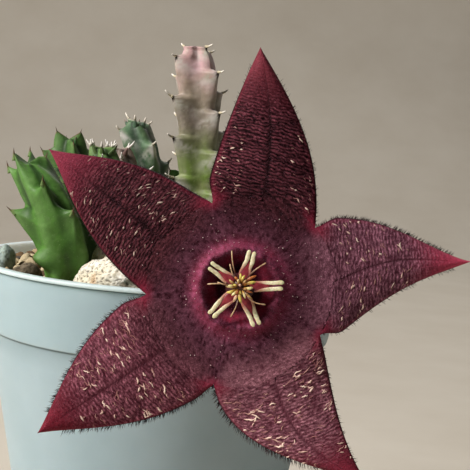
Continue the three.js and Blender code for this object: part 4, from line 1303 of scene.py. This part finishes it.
def disc_paint(k, x, y, s, ridge):
    """Paint of the disc: the pit, darkened towards its middle by painted shade over its own dark colour, the
    raised ring round it and the velvet between it and the lobes, whose ridges are paler on one side by
    painted light.
    """
    lobe = LOBES[k]
    radius = np.hypot(x, y)
    gx, gy = turned_by(lobe["angle"], x, y)
    around = np.arctan2(gy, gx)
    near, far = notches_of(k)
    past_notch = radius - mix(near[1], far[1], (s + 1) / 2)
    # painted light: the velvet's ridges are paler towards the lower left of the flower
    pale = 0.5 + 0.3 * np.cos(around - math.radians(215)) + 0.25 * noise(gx / 2.5, gy / 2.5, 0.5, 91)
    velvet = over(DISC_DARK, DISC_RIDGE, ridge * mix(0.35, 1.0, pale))
    hue = over(rgb(*lobe["valley"]), rgb(*lobe["ridge"]), ridge * 0.8) * base_shade(k, radius)
    velvet = over(velvet, hue, smooth((radius - 7) / 4) * (1 - s**6))
    by_notch = smooth((np.abs(s) - 0.7) / 0.3) * smooth((past_notch + 1.2) / 1.2)
    velvet = over(velvet, CRIMSON, 0.6 * by_notch)
    speckle = 0.75 + 0.55 * noise(gx / 0.3, gy / 0.3, 6.5, 57)
    streak = (0.5 + 0.5 * noise(np.degrees(around) / 3, radius / 1.2, 0.5, 92)) * speckle
    blotch = 0.5 + 0.5 * noise(gx / 0.8, gy / 0.8, 2.5, 93)
    ring = over(RING_DARK, RING_LIGHT, streak * blotch * 1.8)
    paint = over(velvet, ring, bell(radius, ANNULUS_RADIUS + 0.5, 0.95))
    paint = over(paint, PIT_WALL, smooth((4.5 - radius) / 0.6) * mix(0.1, 1.1, blotch) * speckle)
    # painted shade: the pit darkens towards its middle, over its own dark colour
    return over(paint, PIT_DARK, smooth((3.5 - radius) / 1.0))


def flower_front(k, across):
    """Front points and paint of one lobe with its share of the disc, about the flower's middle."""
    x, y, f, s = lobe_grid(k, across)
    radius = np.hypot(x, y)
    on_disc = f == 0
    gx, gy = turned_by(LOBES[k]["angle"], x, y)
    free = smooth((radius - 6.5) / 4) * (1 - s**6 * (1 - smooth(f / 0.1)))
    ridge = mix(crumple(gx, gy, 57), ridges(x, y, 51 + k), LOBES[k]["order"] * free)
    calm = calm_of(f, s)
    rough = RIDGE_HEIGHT * LOBES[k]["relief"] * ridge * calm * smooth((radius - 5.4) / 1.5)
    thick = PETAL_THICKNESS * (1 - TIP_THINNING * f)
    uneven = 0.25 * noise(gx / 2.2, gy / 2.2, 8.5, 58) * bell(radius, ANNULUS_RADIUS, 1.6)
    lumps = 0.22 * noise(gx / 0.75, gy / 0.75, 9.5, 59) * bell(radius, ANNULUS_RADIUS, 0.8)
    lumps = lumps + 0.15 * noise(gx / 0.36, gy / 0.36, 10.5, 60) * bell(radius, ANNULUS_RADIUS - 0.2, 1.0)
    lip = lobe_height(k, f, s) - thick / 2 * (1 - edge_round(f, s))
    z = np.where(on_disc, disc_front(radius + uneven) + lumps, lip) + rough
    z = z - 0.05 * bell(s, 0, 0.045) * smooth((f - 0.05) / 0.1) * (1 - f)
    on_lobe = lobe_paint(k, x, y, f, s, ridge * calm)
    paint = np.where(on_disc[..., None], disc_paint(k, x, y, s, ridge), on_lobe)
    spots = np.stack([x + LOBE_APART * k, y, free * calm], -1)
    return np.stack([gx, gy, z], -1), paint, spots


def edge_round(f, s):
    """How far a lobe keeps its thickness: 1 inside, falling to a thin lip at its free edge."""
    e = np.clip((np.abs(s) - 0.9) / 0.1, 0, 1) * smooth(f / 0.05)
    return 0.15 + 0.85 * np.sqrt(1 - e * e)


def flower_back(k, across):
    """Back points and paint of one lobe with its share of the disc, with veins that stand out."""
    x, y, f, s = lobe_grid(k, across)
    radius = np.hypot(x, y)
    gx, gy = turned_by(LOBES[k]["angle"], x, y)
    thick = PETAL_THICKNESS * (1 - TIP_THINNING * f)
    middle = lobe_height(k, f, s) - thick / 2
    z = np.where(f == 0, disc_back(radius), middle - thick / 2 * edge_round(f, s))
    veins = bell(s, 0, 0.07)
    for place, strength in BACK_VEINS:
        veins = veins + strength * (bell(s, place, 0.05) + bell(s, -place, 0.05))
    veins = veins * smooth((radius - 4) / 6) * (1 - f)
    z = z - VEIN_HEIGHT * veins
    grain = 0.5 + 0.5 * noise(gx / 1.6, gy / 1.6, 3.5, 95)
    paint = over(BACK_TAN, BACK_RED, 0.35 + 0.5 * grain)
    paint = over(paint, BACK_VEIN, 0.75 * veins)
    paint = over(paint, BACK_GREEN, bell(radius, 0, 7))
    return np.stack([gx, gy, z], -1), paint, np.stack([x + LOBE_APART * k, y, np.zeros_like(x)], -1)


def petal_columns(count):
    """Shares across a lobe from -1 to 1, closer together at its edges."""
    t = np.linspace(-1, 1, count + 1)
    return t * (1.25 - 0.25 * t * t)


def make_corolla():
    """The fine face of the flower, and its coarser back, which wraps round to the face's free edges."""
    fine = petal_columns(LOBE_COLUMNS)
    front = FlowerFace([flower_front(k, fine) for k in LOBE_RANGE])
    coarse = fine[:: LOBE_COLUMNS // BACK_COLUMNS]
    back = FlowerFace([flower_back(k, coarse) for k in LOBE_RANGE])
    front_shape, back_shape = face_shape(front, True), face_shape(back, False)
    for k in LOBE_RANGE:
        for side, flip in ((0, True), (-1, False)):
            edge, back_edge = front.edge(k, side), back.edge(k, side)
            points = np.stack([on_flower(front.points[edge]), on_flower(back.points[back_edge])])
            paint = np.repeat(front.paint[edge][None], 2, 0).reshape(-1, 3)
            back_shape.add(points, [grid_faces(2, len(edge), flip=flip)], paint, np.zeros_like(paint))
    look = petal_look()
    front_shape.piece("corolla_face", look, "petal", ["corolla"])
    back_shape.piece("corolla_back", look, "petal", ["corolla"])


def face_shape(face, flip):
    """One face of the corolla, with the fans that close its lobes' tips."""
    shape = Shape()
    shape.add(on_flower(face.points), [face.faces(flip)], face.paint, face.spots)
    tips = np.array([lobe_tip(k) for k in LOBE_RANGE])
    tip_paint = np.array([rgb(*lobe["tip"]) for lobe in LOBES])
    shape.add(on_flower(tips), [], tip_paint, np.zeros_like(tips))
    for k in LOBE_RANGE:
        shape.faces += tip_fan(face.row(k, -1), face.total + k, flip)
    return shape


def lobe_tip(k):
    """The outermost point of a lobe."""
    x, y, _ = lobe_place(k, np.float64(1), np.float64(0))
    gx, gy = turned_by(LOBES[k]["angle"], x, y)
    return [gx, gy, LOBES[k]["lift"] - EDGE_DROP * 0.3]


def tip_fan(last, tip, flip):
    """Triangles from a lobe's last row to its tip."""
    return [[a, tip, b] if flip else [a, b, tip] for a, b in zip(last[:-1].tolist(), last[1:].tolist())]


class FlowerFace:
    """The grid of one face of the corolla: five sectors that share their columns on the disc."""

    def __init__(self, sectors):
        grids, paints, spots = zip(*sectors)
        self.columns = grids[0].shape[1] - 1
        self.ring = len(LOBES) * self.columns
        self.rows = grids[0].shape[0]
        self.lobe_rows = self.rows - DISC_ROWS
        self.points = self.joined(grids)
        self.points[-1] = self.points[: self.ring].mean(0)
        self.paint = self.joined(paints)
        self.spots = self.joined(spots)
        self.total = len(self.points)

    def joined(self, sectors):
        """Values of all grid points in the order of their indices, and one more for the middle."""
        disc = np.concatenate([part[:DISC_ROWS, :-1] for part in sectors], 1).reshape(-1, 3)
        return np.concatenate([disc, *[part[DISC_ROWS:].reshape(-1, 3) for part in sectors], disc[:1]])

    def row(self, k, i):
        """Indices of one row of sector k, counted from the flower's middle, or from the tip if negative."""
        i = i % self.rows
        j = np.arange(self.columns + 1)
        if i < DISC_ROWS:
            return i * self.ring + (k * self.columns + j) % self.ring
        return DISC_ROWS * self.ring + (k * self.lobe_rows + i - DISC_ROWS) * (self.columns + 1) + j

    def edge(self, k, side):
        """Indices along one free edge of lobe k, from its notch outwards."""
        return [int(self.row(k, i)[side]) for i in range(DISC_ROWS - 1, self.rows)]

    def faces(self, flip):
        """Quads between the rows of all sectors, and the triangles round the flower's middle."""
        found = []
        for k in LOBE_RANGE:
            index = np.stack([self.row(k, i) for i in range(self.rows)])
            a, b = index[:-1, :-1], index[:-1, 1:]
            d, c = index[1:, :-1], index[1:, 1:]
            corners = [a, d, c, b] if flip else [a, b, c, d]
            found += np.stack(corners, -1).reshape(-1, 4).tolist()
        first = np.arange(self.ring)
        after = np.roll(first, -1)
        centre = np.full(self.ring, self.total - 1)
        corners = [centre, first, after] if flip else [centre, after, first]
        return found + np.stack(corners, -1).tolist()


def mark_path(k, draw, length):
    """Places of one crooked line across a lobe, as share along it and across it."""
    lobe = LOBES[k]
    low, high = lobe["span"]
    f = high - (high - low) * math.sqrt(draw.random())
    s = draw.choice([-1, 1]) * draw.uniform(*lobe["aside"])
    tilt = draw.normal(lobe["tilt"], 0.3)
    path = []
    for _ in range(max(3, round(length / MARK_STEP) + 1)):
        path.append((f, s))
        half = max(2.0, lobe_place(k, np.float64(f), np.float64(s))[2])
        bend = tilt + draw.normal(0, 0.45)
        f -= MARK_STEP * math.sin(bend) / (lobe["length"] - lobe["notch"][1])
        s += math.copysign(MARK_STEP * math.cos(bend) / half, s)
    f, s = np.array(path).T
    return np.clip(f, 0.01, 0.93), np.clip(s, -0.93, 0.93)


def add_mark(shape, k, draw, length, width, strength):
    """One thin raised line on a lobe, brightest in its middle."""
    f, s = mark_path(k, draw, length)
    x, y, _ = lobe_place(k, f, s)
    gx, gy = turned_by(LOBES[k]["angle"], x, y)
    stand = RIDGE_HEIGHT * LOBES[k]["relief"] * calm_of(f, s)
    z = lobe_height(k, f, s) + draw.uniform(0.55, 0.8) * stand
    t = np.linspace(-1, 1, len(f))
    half = width * (1 - 0.75 * t * t) * draw.uniform(0.7, 1.0, len(f))
    rings = tube_rings(np.stack([gx, gy, z], -1), half, 0.6 * half, MARK_SIDES)
    bright = strength * (1 - 0.7 * t * t) * draw.uniform(0.75, 1.0, len(f))
    colour = over(MARK_END, mix(TAWNY, CREAM, bright[:, None]), 1.6 * bright) * LOBES[k]["glow"]
    shape.wrap(rings, np.concatenate([np.repeat(colour, MARK_SIDES, 0), colour[:1], colour[-1:]]), on_flower)


def make_marks():
    """The cream lines on the lobes, and fainter pink ones between them."""
    draw = np.random.default_rng(SEEDS["marks"])
    shape = Shape()
    for k, lobe in enumerate(LOBES):
        for _ in range(lobe["marks"]):
            length, width = draw.uniform(*lobe["reach"]), draw.uniform(*MARK_WIDTH)
            add_mark(shape, k, draw, length, width, draw.uniform(0.5, 1))
        for _ in range(round(FAINT_MARKS * lobe["marks"])):
            add_mark(shape, k, draw, draw.uniform(*lobe["reach"]), MARK_WIDTH[0], draw.uniform(0.05, 0.4))
    shape.piece("corolla_marks", hair_look("petal_mark"), "petal")


def hair_piece(name, look, roots, directions, lengths, width, droop, foot, tip):
    """A piece of many thin three-sided hairs on the flower, each bent a little on its way out."""
    count = len(roots)
    directions = unit(directions)
    side = unit(np.cross(directions, [0.31, 0.17, 0.93]))
    other = np.cross(directions, side)
    middle = roots + directions * lengths[:, None] * 0.5 + droop * 0.25
    points = np.zeros((count, 7, 3))
    for k in range(3):
        t = 2 * math.pi * k / 3
        spoke = (side * math.cos(t) + other * math.sin(t)) * width / 2
        points[:, k] = roots + spoke
        points[:, 3 + k] = middle + 0.7 * spoke
    points[:, 6] = roots + directions * lengths[:, None] + droop
    start = (7 * np.arange(count))[:, None, None]
    quads = np.array([[0, 1, 4, 3], [1, 2, 5, 4], [2, 0, 3, 5]]) + start
    ends = np.array([[3, 4, 6], [4, 5, 6], [5, 3, 6], [0, 2, 1]]) + start
    paint = np.broadcast_to(rgb(*foot), points.shape).copy()
    paint[:, 6] = rgb(*tip)
    shape = Shape()
    shape.add(on_flower(points), [quads.reshape(-1, 4), ends.reshape(-1, 3)], paint.reshape(-1, 3))
    shape.piece(name, hair_look(look), "petal")


def make_edge_hairs():
    """Dark hairs along the lobes' free edges, thick on some edges and sparse on others."""
    draw = np.random.default_rng(SEEDS["edge_hairs"])
    parts = []
    for k, lobe in enumerate(LOBES):
        for side, (count, length) in zip((-1, 1), lobe["hairs"]):
            f = draw.uniform(0.0, 0.88, count)
            s = np.full(count, side * 0.985)
            x, y, _ = lobe_place(k, f, s)
            ahead_x, ahead_y, _ = lobe_place(k, f + 0.01, s)
            edge = unit(np.stack([ahead_x - x, ahead_y - y], -1))
            normal = np.stack([edge[:, 1], -edge[:, 0]], -1) * -side
            lean = normal + edge * draw.uniform(0.1, 0.8, (count, 1))
            z = lobe_height(k, f, s) - PETAL_THICKNESS / 2
            gx, gy = turned_by(lobe["angle"], x, y)
            lx, ly = turned_by(lobe["angle"], lean[:, 0], lean[:, 1])
            root = np.stack([gx, gy, z + draw.uniform(-0.2, 0.2, count)], -1)
            direction = np.stack([lx, ly, draw.uniform(-0.2, 0.6, count)], -1)
            parts.append((root, direction, length * draw.uniform(0.6, 1.25, count)))
    roots, directions, lengths = [np.concatenate(part) for part in zip(*parts)]
    droop = draw.normal(0, 0.08, roots.shape)
    form = (roots, directions, lengths, EDGE_HAIR_WIDTH, droop)
    hair_piece("corolla_edge_hairs", "edge_hair", *form, *EDGE_HAIR_COLOURS)


def make_ring_fuzz():
    """Very short pink hairs on the raised ring, and sparser on the velvet round it."""
    draw = np.random.default_rng(SEEDS["ring_fuzz"])
    count = FUZZ_HAIRS
    on_ring = draw.random(count) < FUZZ_ON_RING
    on_ring_radius = draw.normal(ANNULUS_RADIUS + 0.1, 0.45, count)
    radius = np.where(on_ring, on_ring_radius, draw.uniform(*VELVET, count))
    angle = draw.uniform(0, 2 * math.pi, count)
    spoke = np.stack([np.cos(angle), np.sin(angle), np.zeros(count)], -1)
    up = np.array([0, 0, 1])
    roots = spoke * radius[:, None] + up * disc_front(radius)[:, None]
    directions = spoke * draw.normal(0.5, 0.6, count)[:, None] + up + draw.normal(0, 0.3, (count, 3))
    lengths = draw.uniform(*FUZZ_LENGTH, count)
    form = (roots, directions, lengths, FUZZ_HAIR_WIDTH, 0)
    hair_piece("corolla_ring_fuzz", "ring_fuzz", *form, *FUZZ_COLOURS)


def make_pollen_specks():
    """Tiny pale grains lying on the velvet of the disc."""
    draw = np.random.default_rng(SEEDS["specks"])
    grain, faces = ball(1)
    light, dark = [rgb(*c) for c in POLLEN_COLOURS]
    shape = Shape()
    for _ in range(POLLEN_SPECKS):
        radius = VELVET[0] + 7 * draw.random() ** 1.5
        angle = draw.uniform(0, 2 * math.pi)
        size = draw.uniform(*POLLEN_SIZE)
        place = np.array([radius * math.cos(angle), radius * math.sin(angle), disc_front(radius) + 0.16])
        shape.add(on_flower(grain * size + place), [faces], mix(light, dark, draw.random()))
    shape.piece("corolla_specks", hair_look("pollen"), "petal")


# Corona


def corona_place(angle, out, aside, up):
    """Places about the flower's middle: out along a direction, aside of it, and above the straps."""
    c, s = cos_sin(angle)
    x = CORONA_MIDDLE[0] + out * c - aside * s
    y = CORONA_MIDDLE[1] + out * s + aside * c
    return np.stack([x, y, CORONA_LEVEL + up + 0 * out], -1)


# Half of a strap as rows of out, aside, up and half width, and the red web between the two halves as
# rows of out and half width
PRONG = [
    (1.4, 0.58, -0.04, 0.1), (2.1, 0.56, 0.0, 0.16), (2.9, 0.46, 0.08, 0.22),
    (3.7, 0.38, 0.18, 0.27), (4.3, 0.36, 0.3, 0.26), (4.75, 0.37, 0.36, 0.28), (5.0, 0.4, 0.38, 0.12),
]
WEB = [(1.1, 0.5), (1.8, 0.55), (2.5, 0.45), (3.1, 0.26), (3.6, 0.05)]
STRAP_STEPS = 36
WEB_STEPS = 20
STRAP_SIDES = 22
STRAP_FLATNESS = 0.42
WEB_THICKNESS = 0.12
STRAP_CREAM = rgb(250, 244, 214)
STRAP_BLUSH = rgb(206, 134, 122)
STRAP_END = rgb(222, 220, 172)
STRAP_DUST = rgb(176, 166, 120)
WEB_LIGHT = rgb(164, 62, 76)
WEB_DARK = rgb(120, 30, 46)
BOSS_RADII = (1.2, 1.75)
BOSS_STEPS = 10
BOSS_SIDES = 40
BOSS_COLOUR = rgb(60, 10, 20)


def from_corona(points):
    """Distance of points from the middle line of the corona."""
    return np.hypot(points[:, 0] - CORONA_MIDDLE[0], points[:, 1] - CORONA_MIDDLE[1])


def strap_paint(points, scale):
    """Cream straps that blush towards the middle, yellowish at their ends and dusted with grey."""
    far = from_corona(points) / scale
    paint = over(STRAP_CREAM, STRAP_BLUSH, 1 - smooth((far - 2.1) / 1.4))
    paint = over(paint, STRAP_END, 0.5 * smooth((far - 4.2) / 0.6))
    return over(paint, STRAP_DUST, 0.5 * smooth(noise_at(points, 0.35, 69) * 1.5 - 0.3))


def web_paint(points):
    return over(WEB_LIGHT, WEB_DARK, 0.5 + 0.8 * noise_at(points, 0.4, 66))


def make_outer_corona():
    """The boss, and the five forked straps with the red web between their halves."""
    shape = Shape()
    draw = np.random.default_rng(SEEDS["straps"])
    add_boss(shape)
    path, web = spline(PRONG, STRAP_STEPS), spline(WEB, WEB_STEPS)
    for angle, length in STRAPS:
        scale = length / PRONG[-1][0]
        tilt = draw.uniform(-0.06, 0.06)
        for side in (-1, 1):
            wander = 0.08 * noise(path[:, 0] / 0.9, side * 3.3, angle, 68)
            width = path[:, 3] * (0.92 + 0.14 * noise(path[:, 0] / 0.5, side * 5.3, angle, 67))
            aside = path[:, 1] * side * draw.uniform(0.92, 1.08) + wander
            up = path[:, 2] + tilt * path[:, 0]
            route = corona_place(angle, path[:, 0] * scale * draw.uniform(0.97, 1.02), aside, up)
            rings = tube_rings(route, width, width * STRAP_FLATNESS, STRAP_SIDES)
            shape.wrap(rings, lambda points: strap_paint(points, scale), on_flower)
        route = corona_place(angle, web[:, 0] * scale, 0 * web[:, 0], tilt * web[:, 0] - 0.02)
        shape.wrap(tube_rings(route, web[:, 1], WEB_THICKNESS, STRAP_SIDES), web_paint, on_flower)
    shape.piece("corona_outer_straps", corona_look(), "corona_cream", ["corona_outer"])


def add_boss(shape):
    """The dark fleshy column in the pit that carries the straps."""
    t = np.linspace(0, 1, BOSS_STEPS)
    z = np.linspace(PIT_FLOOR - 0.1, CORONA_LEVEL, BOSS_STEPS)
    route = np.stack([CORONA_MIDDLE[0] + 0 * z, CORONA_MIDDLE[1] + 0 * z, z], -1)
    radius = mix(*BOSS_RADII, smooth(t))
    shape.wrap(tube_rings(route, radius, radius, BOSS_SIDES, (1, 0, 0)), BOSS_COLOUR, on_flower)


# Rays of the inner corona as rows: share of the way out, up, half width
HORN_ROWS = [
    (0.0, 0.5, 0.12), (0.25, 1.0, 0.1), (0.5, 1.35, 0.08),
    (0.8, 1.4, 0.07), (0.95, 1.25, 0.09), (1.0, 1.2, 0.05),
]
BLADE_ROWS = [
    (0.0, 0.45, 0.07), (0.3, 0.95, 0.12), (0.55, 1.25, 0.17),
    (0.8, 1.3, 0.15), (0.95, 1.2, 0.09), (1.0, 1.15, 0.03),
]
RAY_COLOURS = {
    "yellow": ((150, 96, 40), (228, 212, 112)),
    "bright": ((186, 140, 60), (244, 236, 178)),
    "cream": ((156, 84, 60), (232, 200, 168)),
    "tan": ((104, 60, 34), (196, 160, 104)),
    "rust": ((86, 36, 22), (196, 116, 62)),
    "horn": ((84, 36, 30), (214, 180, 146)),
}
RAY_STEPS = 28
RAY_SIDES = 14
RAY_FLATNESS = 0.7

# The dome and the pale point on it: their half sizes, how high they stand over the straps, colours
DOME_SIZE = (0.9, 0.9, 0.5)
DOME_RISE = 0.85
DOME_DARK = rgb(74, 30, 20)
DOME_LIGHT = rgb(120, 70, 34)
POINT_SIZE = (0.16, 0.16, 0.14)
POINT_MIDDLE = (0.0, 0.47)
POINT_RISE = 1.62
POINT_COLOUR = rgb(226, 184, 168)

# Each horn: direction and length of its tip, and how far it bends aside
HORN_TIPS = [
    (47, 4.2, 0.3), (107, 4.45, 0.25), (179, 3.95, -0.2), (256, 3.7, 0.25), (329, 3.65, -0.55),
    (118, 3.0, 0.2), (172, 2.8, 0.1),
]
# Each blade: direction and length of its tip, its width against the rows, and its colour
BLADE_TIPS = [
    (93, 1.62, 1.0, "yellow"), (180, 1.72, 1.25, "bright"), (206, 1.75, 1.1, "yellow"),
    (249, 1.95, 1.1, "cream"), (277, 1.9, 1.2, "yellow"), (319, 2.1, 0.9, "tan"),
    (22, 1.95, 1.1, "yellow"), (2, 1.5, 1.1, "bright"), (39, 2.35, 1.0, "rust"),
    (73, 1.5, 1.0, "yellow"), (125, 1.5, 0.9, "rust"), (150, 1.6, 0.9, "tan"),
    (228, 1.45, 0.9, "bright"), (298, 1.5, 0.9, "bright"), (340, 1.6, 0.8, "rust"),
    (55, 1.1, 0.8, "tan"), (110, 1.0, 0.9, "bright"), (165, 0.9, 0.8, "yellow"),
    (240, 0.95, 0.8, "rust"), (285, 0.85, 0.9, "yellow"), (350, 0.9, 0.8, "tan"),
]


def add_ray(shape, rows, tip_angle, length, bend, wide, colours, start=0.35, lift=0.0):
    """One slim ray of the inner corona, coloured from its base to its tip."""
    share, up, half = spline(rows, RAY_STEPS).T
    base, tip = [rgb(*c) for c in colours]
    aside = bend * np.sin(math.pi * share)
    route = corona_place(tip_angle, mix(start, length, share), aside, up + 0.35 + lift)
    half = half * wide

    def paint(points):
        far = (from_corona(points) - start) / (length - start)
        shades = over(base, tip, smooth((far - 0.3) / 0.5))
        return over(shades, base, 0.5 * smooth(noise_at(points, 0.2, 72) * 2))

    shape.wrap(tube_rings(route, half, half * RAY_FLATNESS, RAY_SIDES), paint, on_flower)


def make_inner_corona():
    """The dome in the middle of the corona, its horns and blades, and the pale point on top."""
    shape = Shape()
    draw = np.random.default_rng(SEEDS["rays"])
    head, faces = ball(4)
    dome = head * np.array(DOME_SIZE) * (1 + 0.12 * noise_at(head, 0.5, 73))[:, None]
    dome = dome + np.array([*CORONA_MIDDLE, CORONA_LEVEL + DOME_RISE])
    paint = over(DOME_DARK, DOME_LIGHT, noise_at(dome, 0.3, 74))
    shape.add(on_flower(dome), [faces], paint)
    for angle, length, bend in HORN_TIPS:
        add_ray(shape, HORN_ROWS, angle, length, bend, 1.0, RAY_COLOURS["horn"])
    for angle, length, wide, colour in BLADE_TIPS:
        bend, lift = draw.normal(0, 0.1), draw.uniform(-0.12, 0.12) + 0.1 * (length < 1.2)
        add_ray(shape, BLADE_ROWS, angle, length, bend, wide, RAY_COLOURS[colour], 0.1, lift)
    point = head * np.array(POINT_SIZE) + np.array([*POINT_MIDDLE, CORONA_LEVEL + POINT_RISE])
    shape.add(on_flower(point), [faces], POINT_COLOUR)
    shape.piece("corona_inner_horns", corona_look(), "corona_yellow", ["corona_inner"])


# Stage, light and camera


def make_stage():
    """A pale floor that curves up into a pale wall behind the plant."""
    t = np.linspace(0.1, math.pi / 2, STAGE_STEPS)
    floor_y = np.linspace(FLOOR_FRONT, WALL_START, STAGE_STEPS)
    curve_y = WALL_START + WALL_CURVE * np.sin(t)
    depth = np.concatenate([floor_y, curve_y, curve_y[-1:]])
    rise = np.concatenate([np.zeros(STAGE_STEPS), WALL_CURVE * (1 - np.cos(t)), [WALL_TOP]])
    points = [[x, y, z] for y, z in zip(depth, rise) for x in (-STAGE_HALF, 0, STAGE_HALF)]
    mesh = new_mesh("stage_floor", np.array(points), grid_faces(len(depth), 3).tolist())
    mesh.polygons.foreach_set("use_smooth", [True] * len(mesh.polygons))
    look = Look("stage_paper", Roughness=0.9, Specular_IOR_Level=0.2)
    fibre = look.span(look.noise(30, detail=4), 0.3, 0.7)
    mesh.materials.append(look.finish(look.blend(fibre, (206, 198, 185), (213, 206, 194))))
    new_object("stage_floor", mesh)


def add_light(name, place, target, size, power, colour):
    """A soft round light that faces its target."""
    data = bpy.data.lights.new(name, "AREA")
    data.shape = "DISK"
    data.size = size * MM
    data.energy = power
    data.color = colour
    light = new_object(name, data)
    light.location = Vector(place) * MM
    light.rotation_euler = (Vector(target) - Vector(place)).to_track_quat("-Z", "Y").to_euler()


def make_lights():
    """The three lights and an even sky."""
    for name, settings in LIGHTS.items():
        add_light(name, *settings)
    world = bpy.data.worlds.new("studio")
    world.use_nodes = True
    sky = world.node_tree.nodes["Background"].inputs
    sky["Color"].default_value = SKY_COLOUR
    sky["Strength"].default_value = SKY_STRENGTH
    bpy.context.scene.world = world


def make_camera():
    """A camera that sees the plant as the photograph does."""
    data = bpy.data.cameras.new("photo_camera")
    data.sensor_width = SENSOR_WIDTH
    data.lens = SENSOR_WIDTH * FOCAL_PIXELS / FRAME_PIXELS
    data.clip_start = 0.01
    data.clip_end = 20
    camera = new_object("photo_camera", data)
    turn = Matrix.Rotation(math.pi / 2 - CAMERA_PITCH, 4, "X") @ Matrix.Rotation(CAMERA_ROLL, 4, "Z")
    camera.matrix_world = Matrix.Translation(Vector(CAMERA_EYE) * MM) @ turn
    bpy.context.scene.camera = camera


make_camera()
make_lights()
make_stage()
make_pot()
make_soil()
for stone_name in STONES:
    make_stone(stone_name)
for grit_name in GRIT:
    make_grit(grit_name)
for stem_name in STEMS:
    make_stem(stem_name)
make_corolla()
make_marks()
make_edge_hairs()
make_ring_fuzz()
make_pollen_specks()
make_outer_corona()
make_inner_corona()
bpy.context.scene.view_settings.view_transform = "Standard"
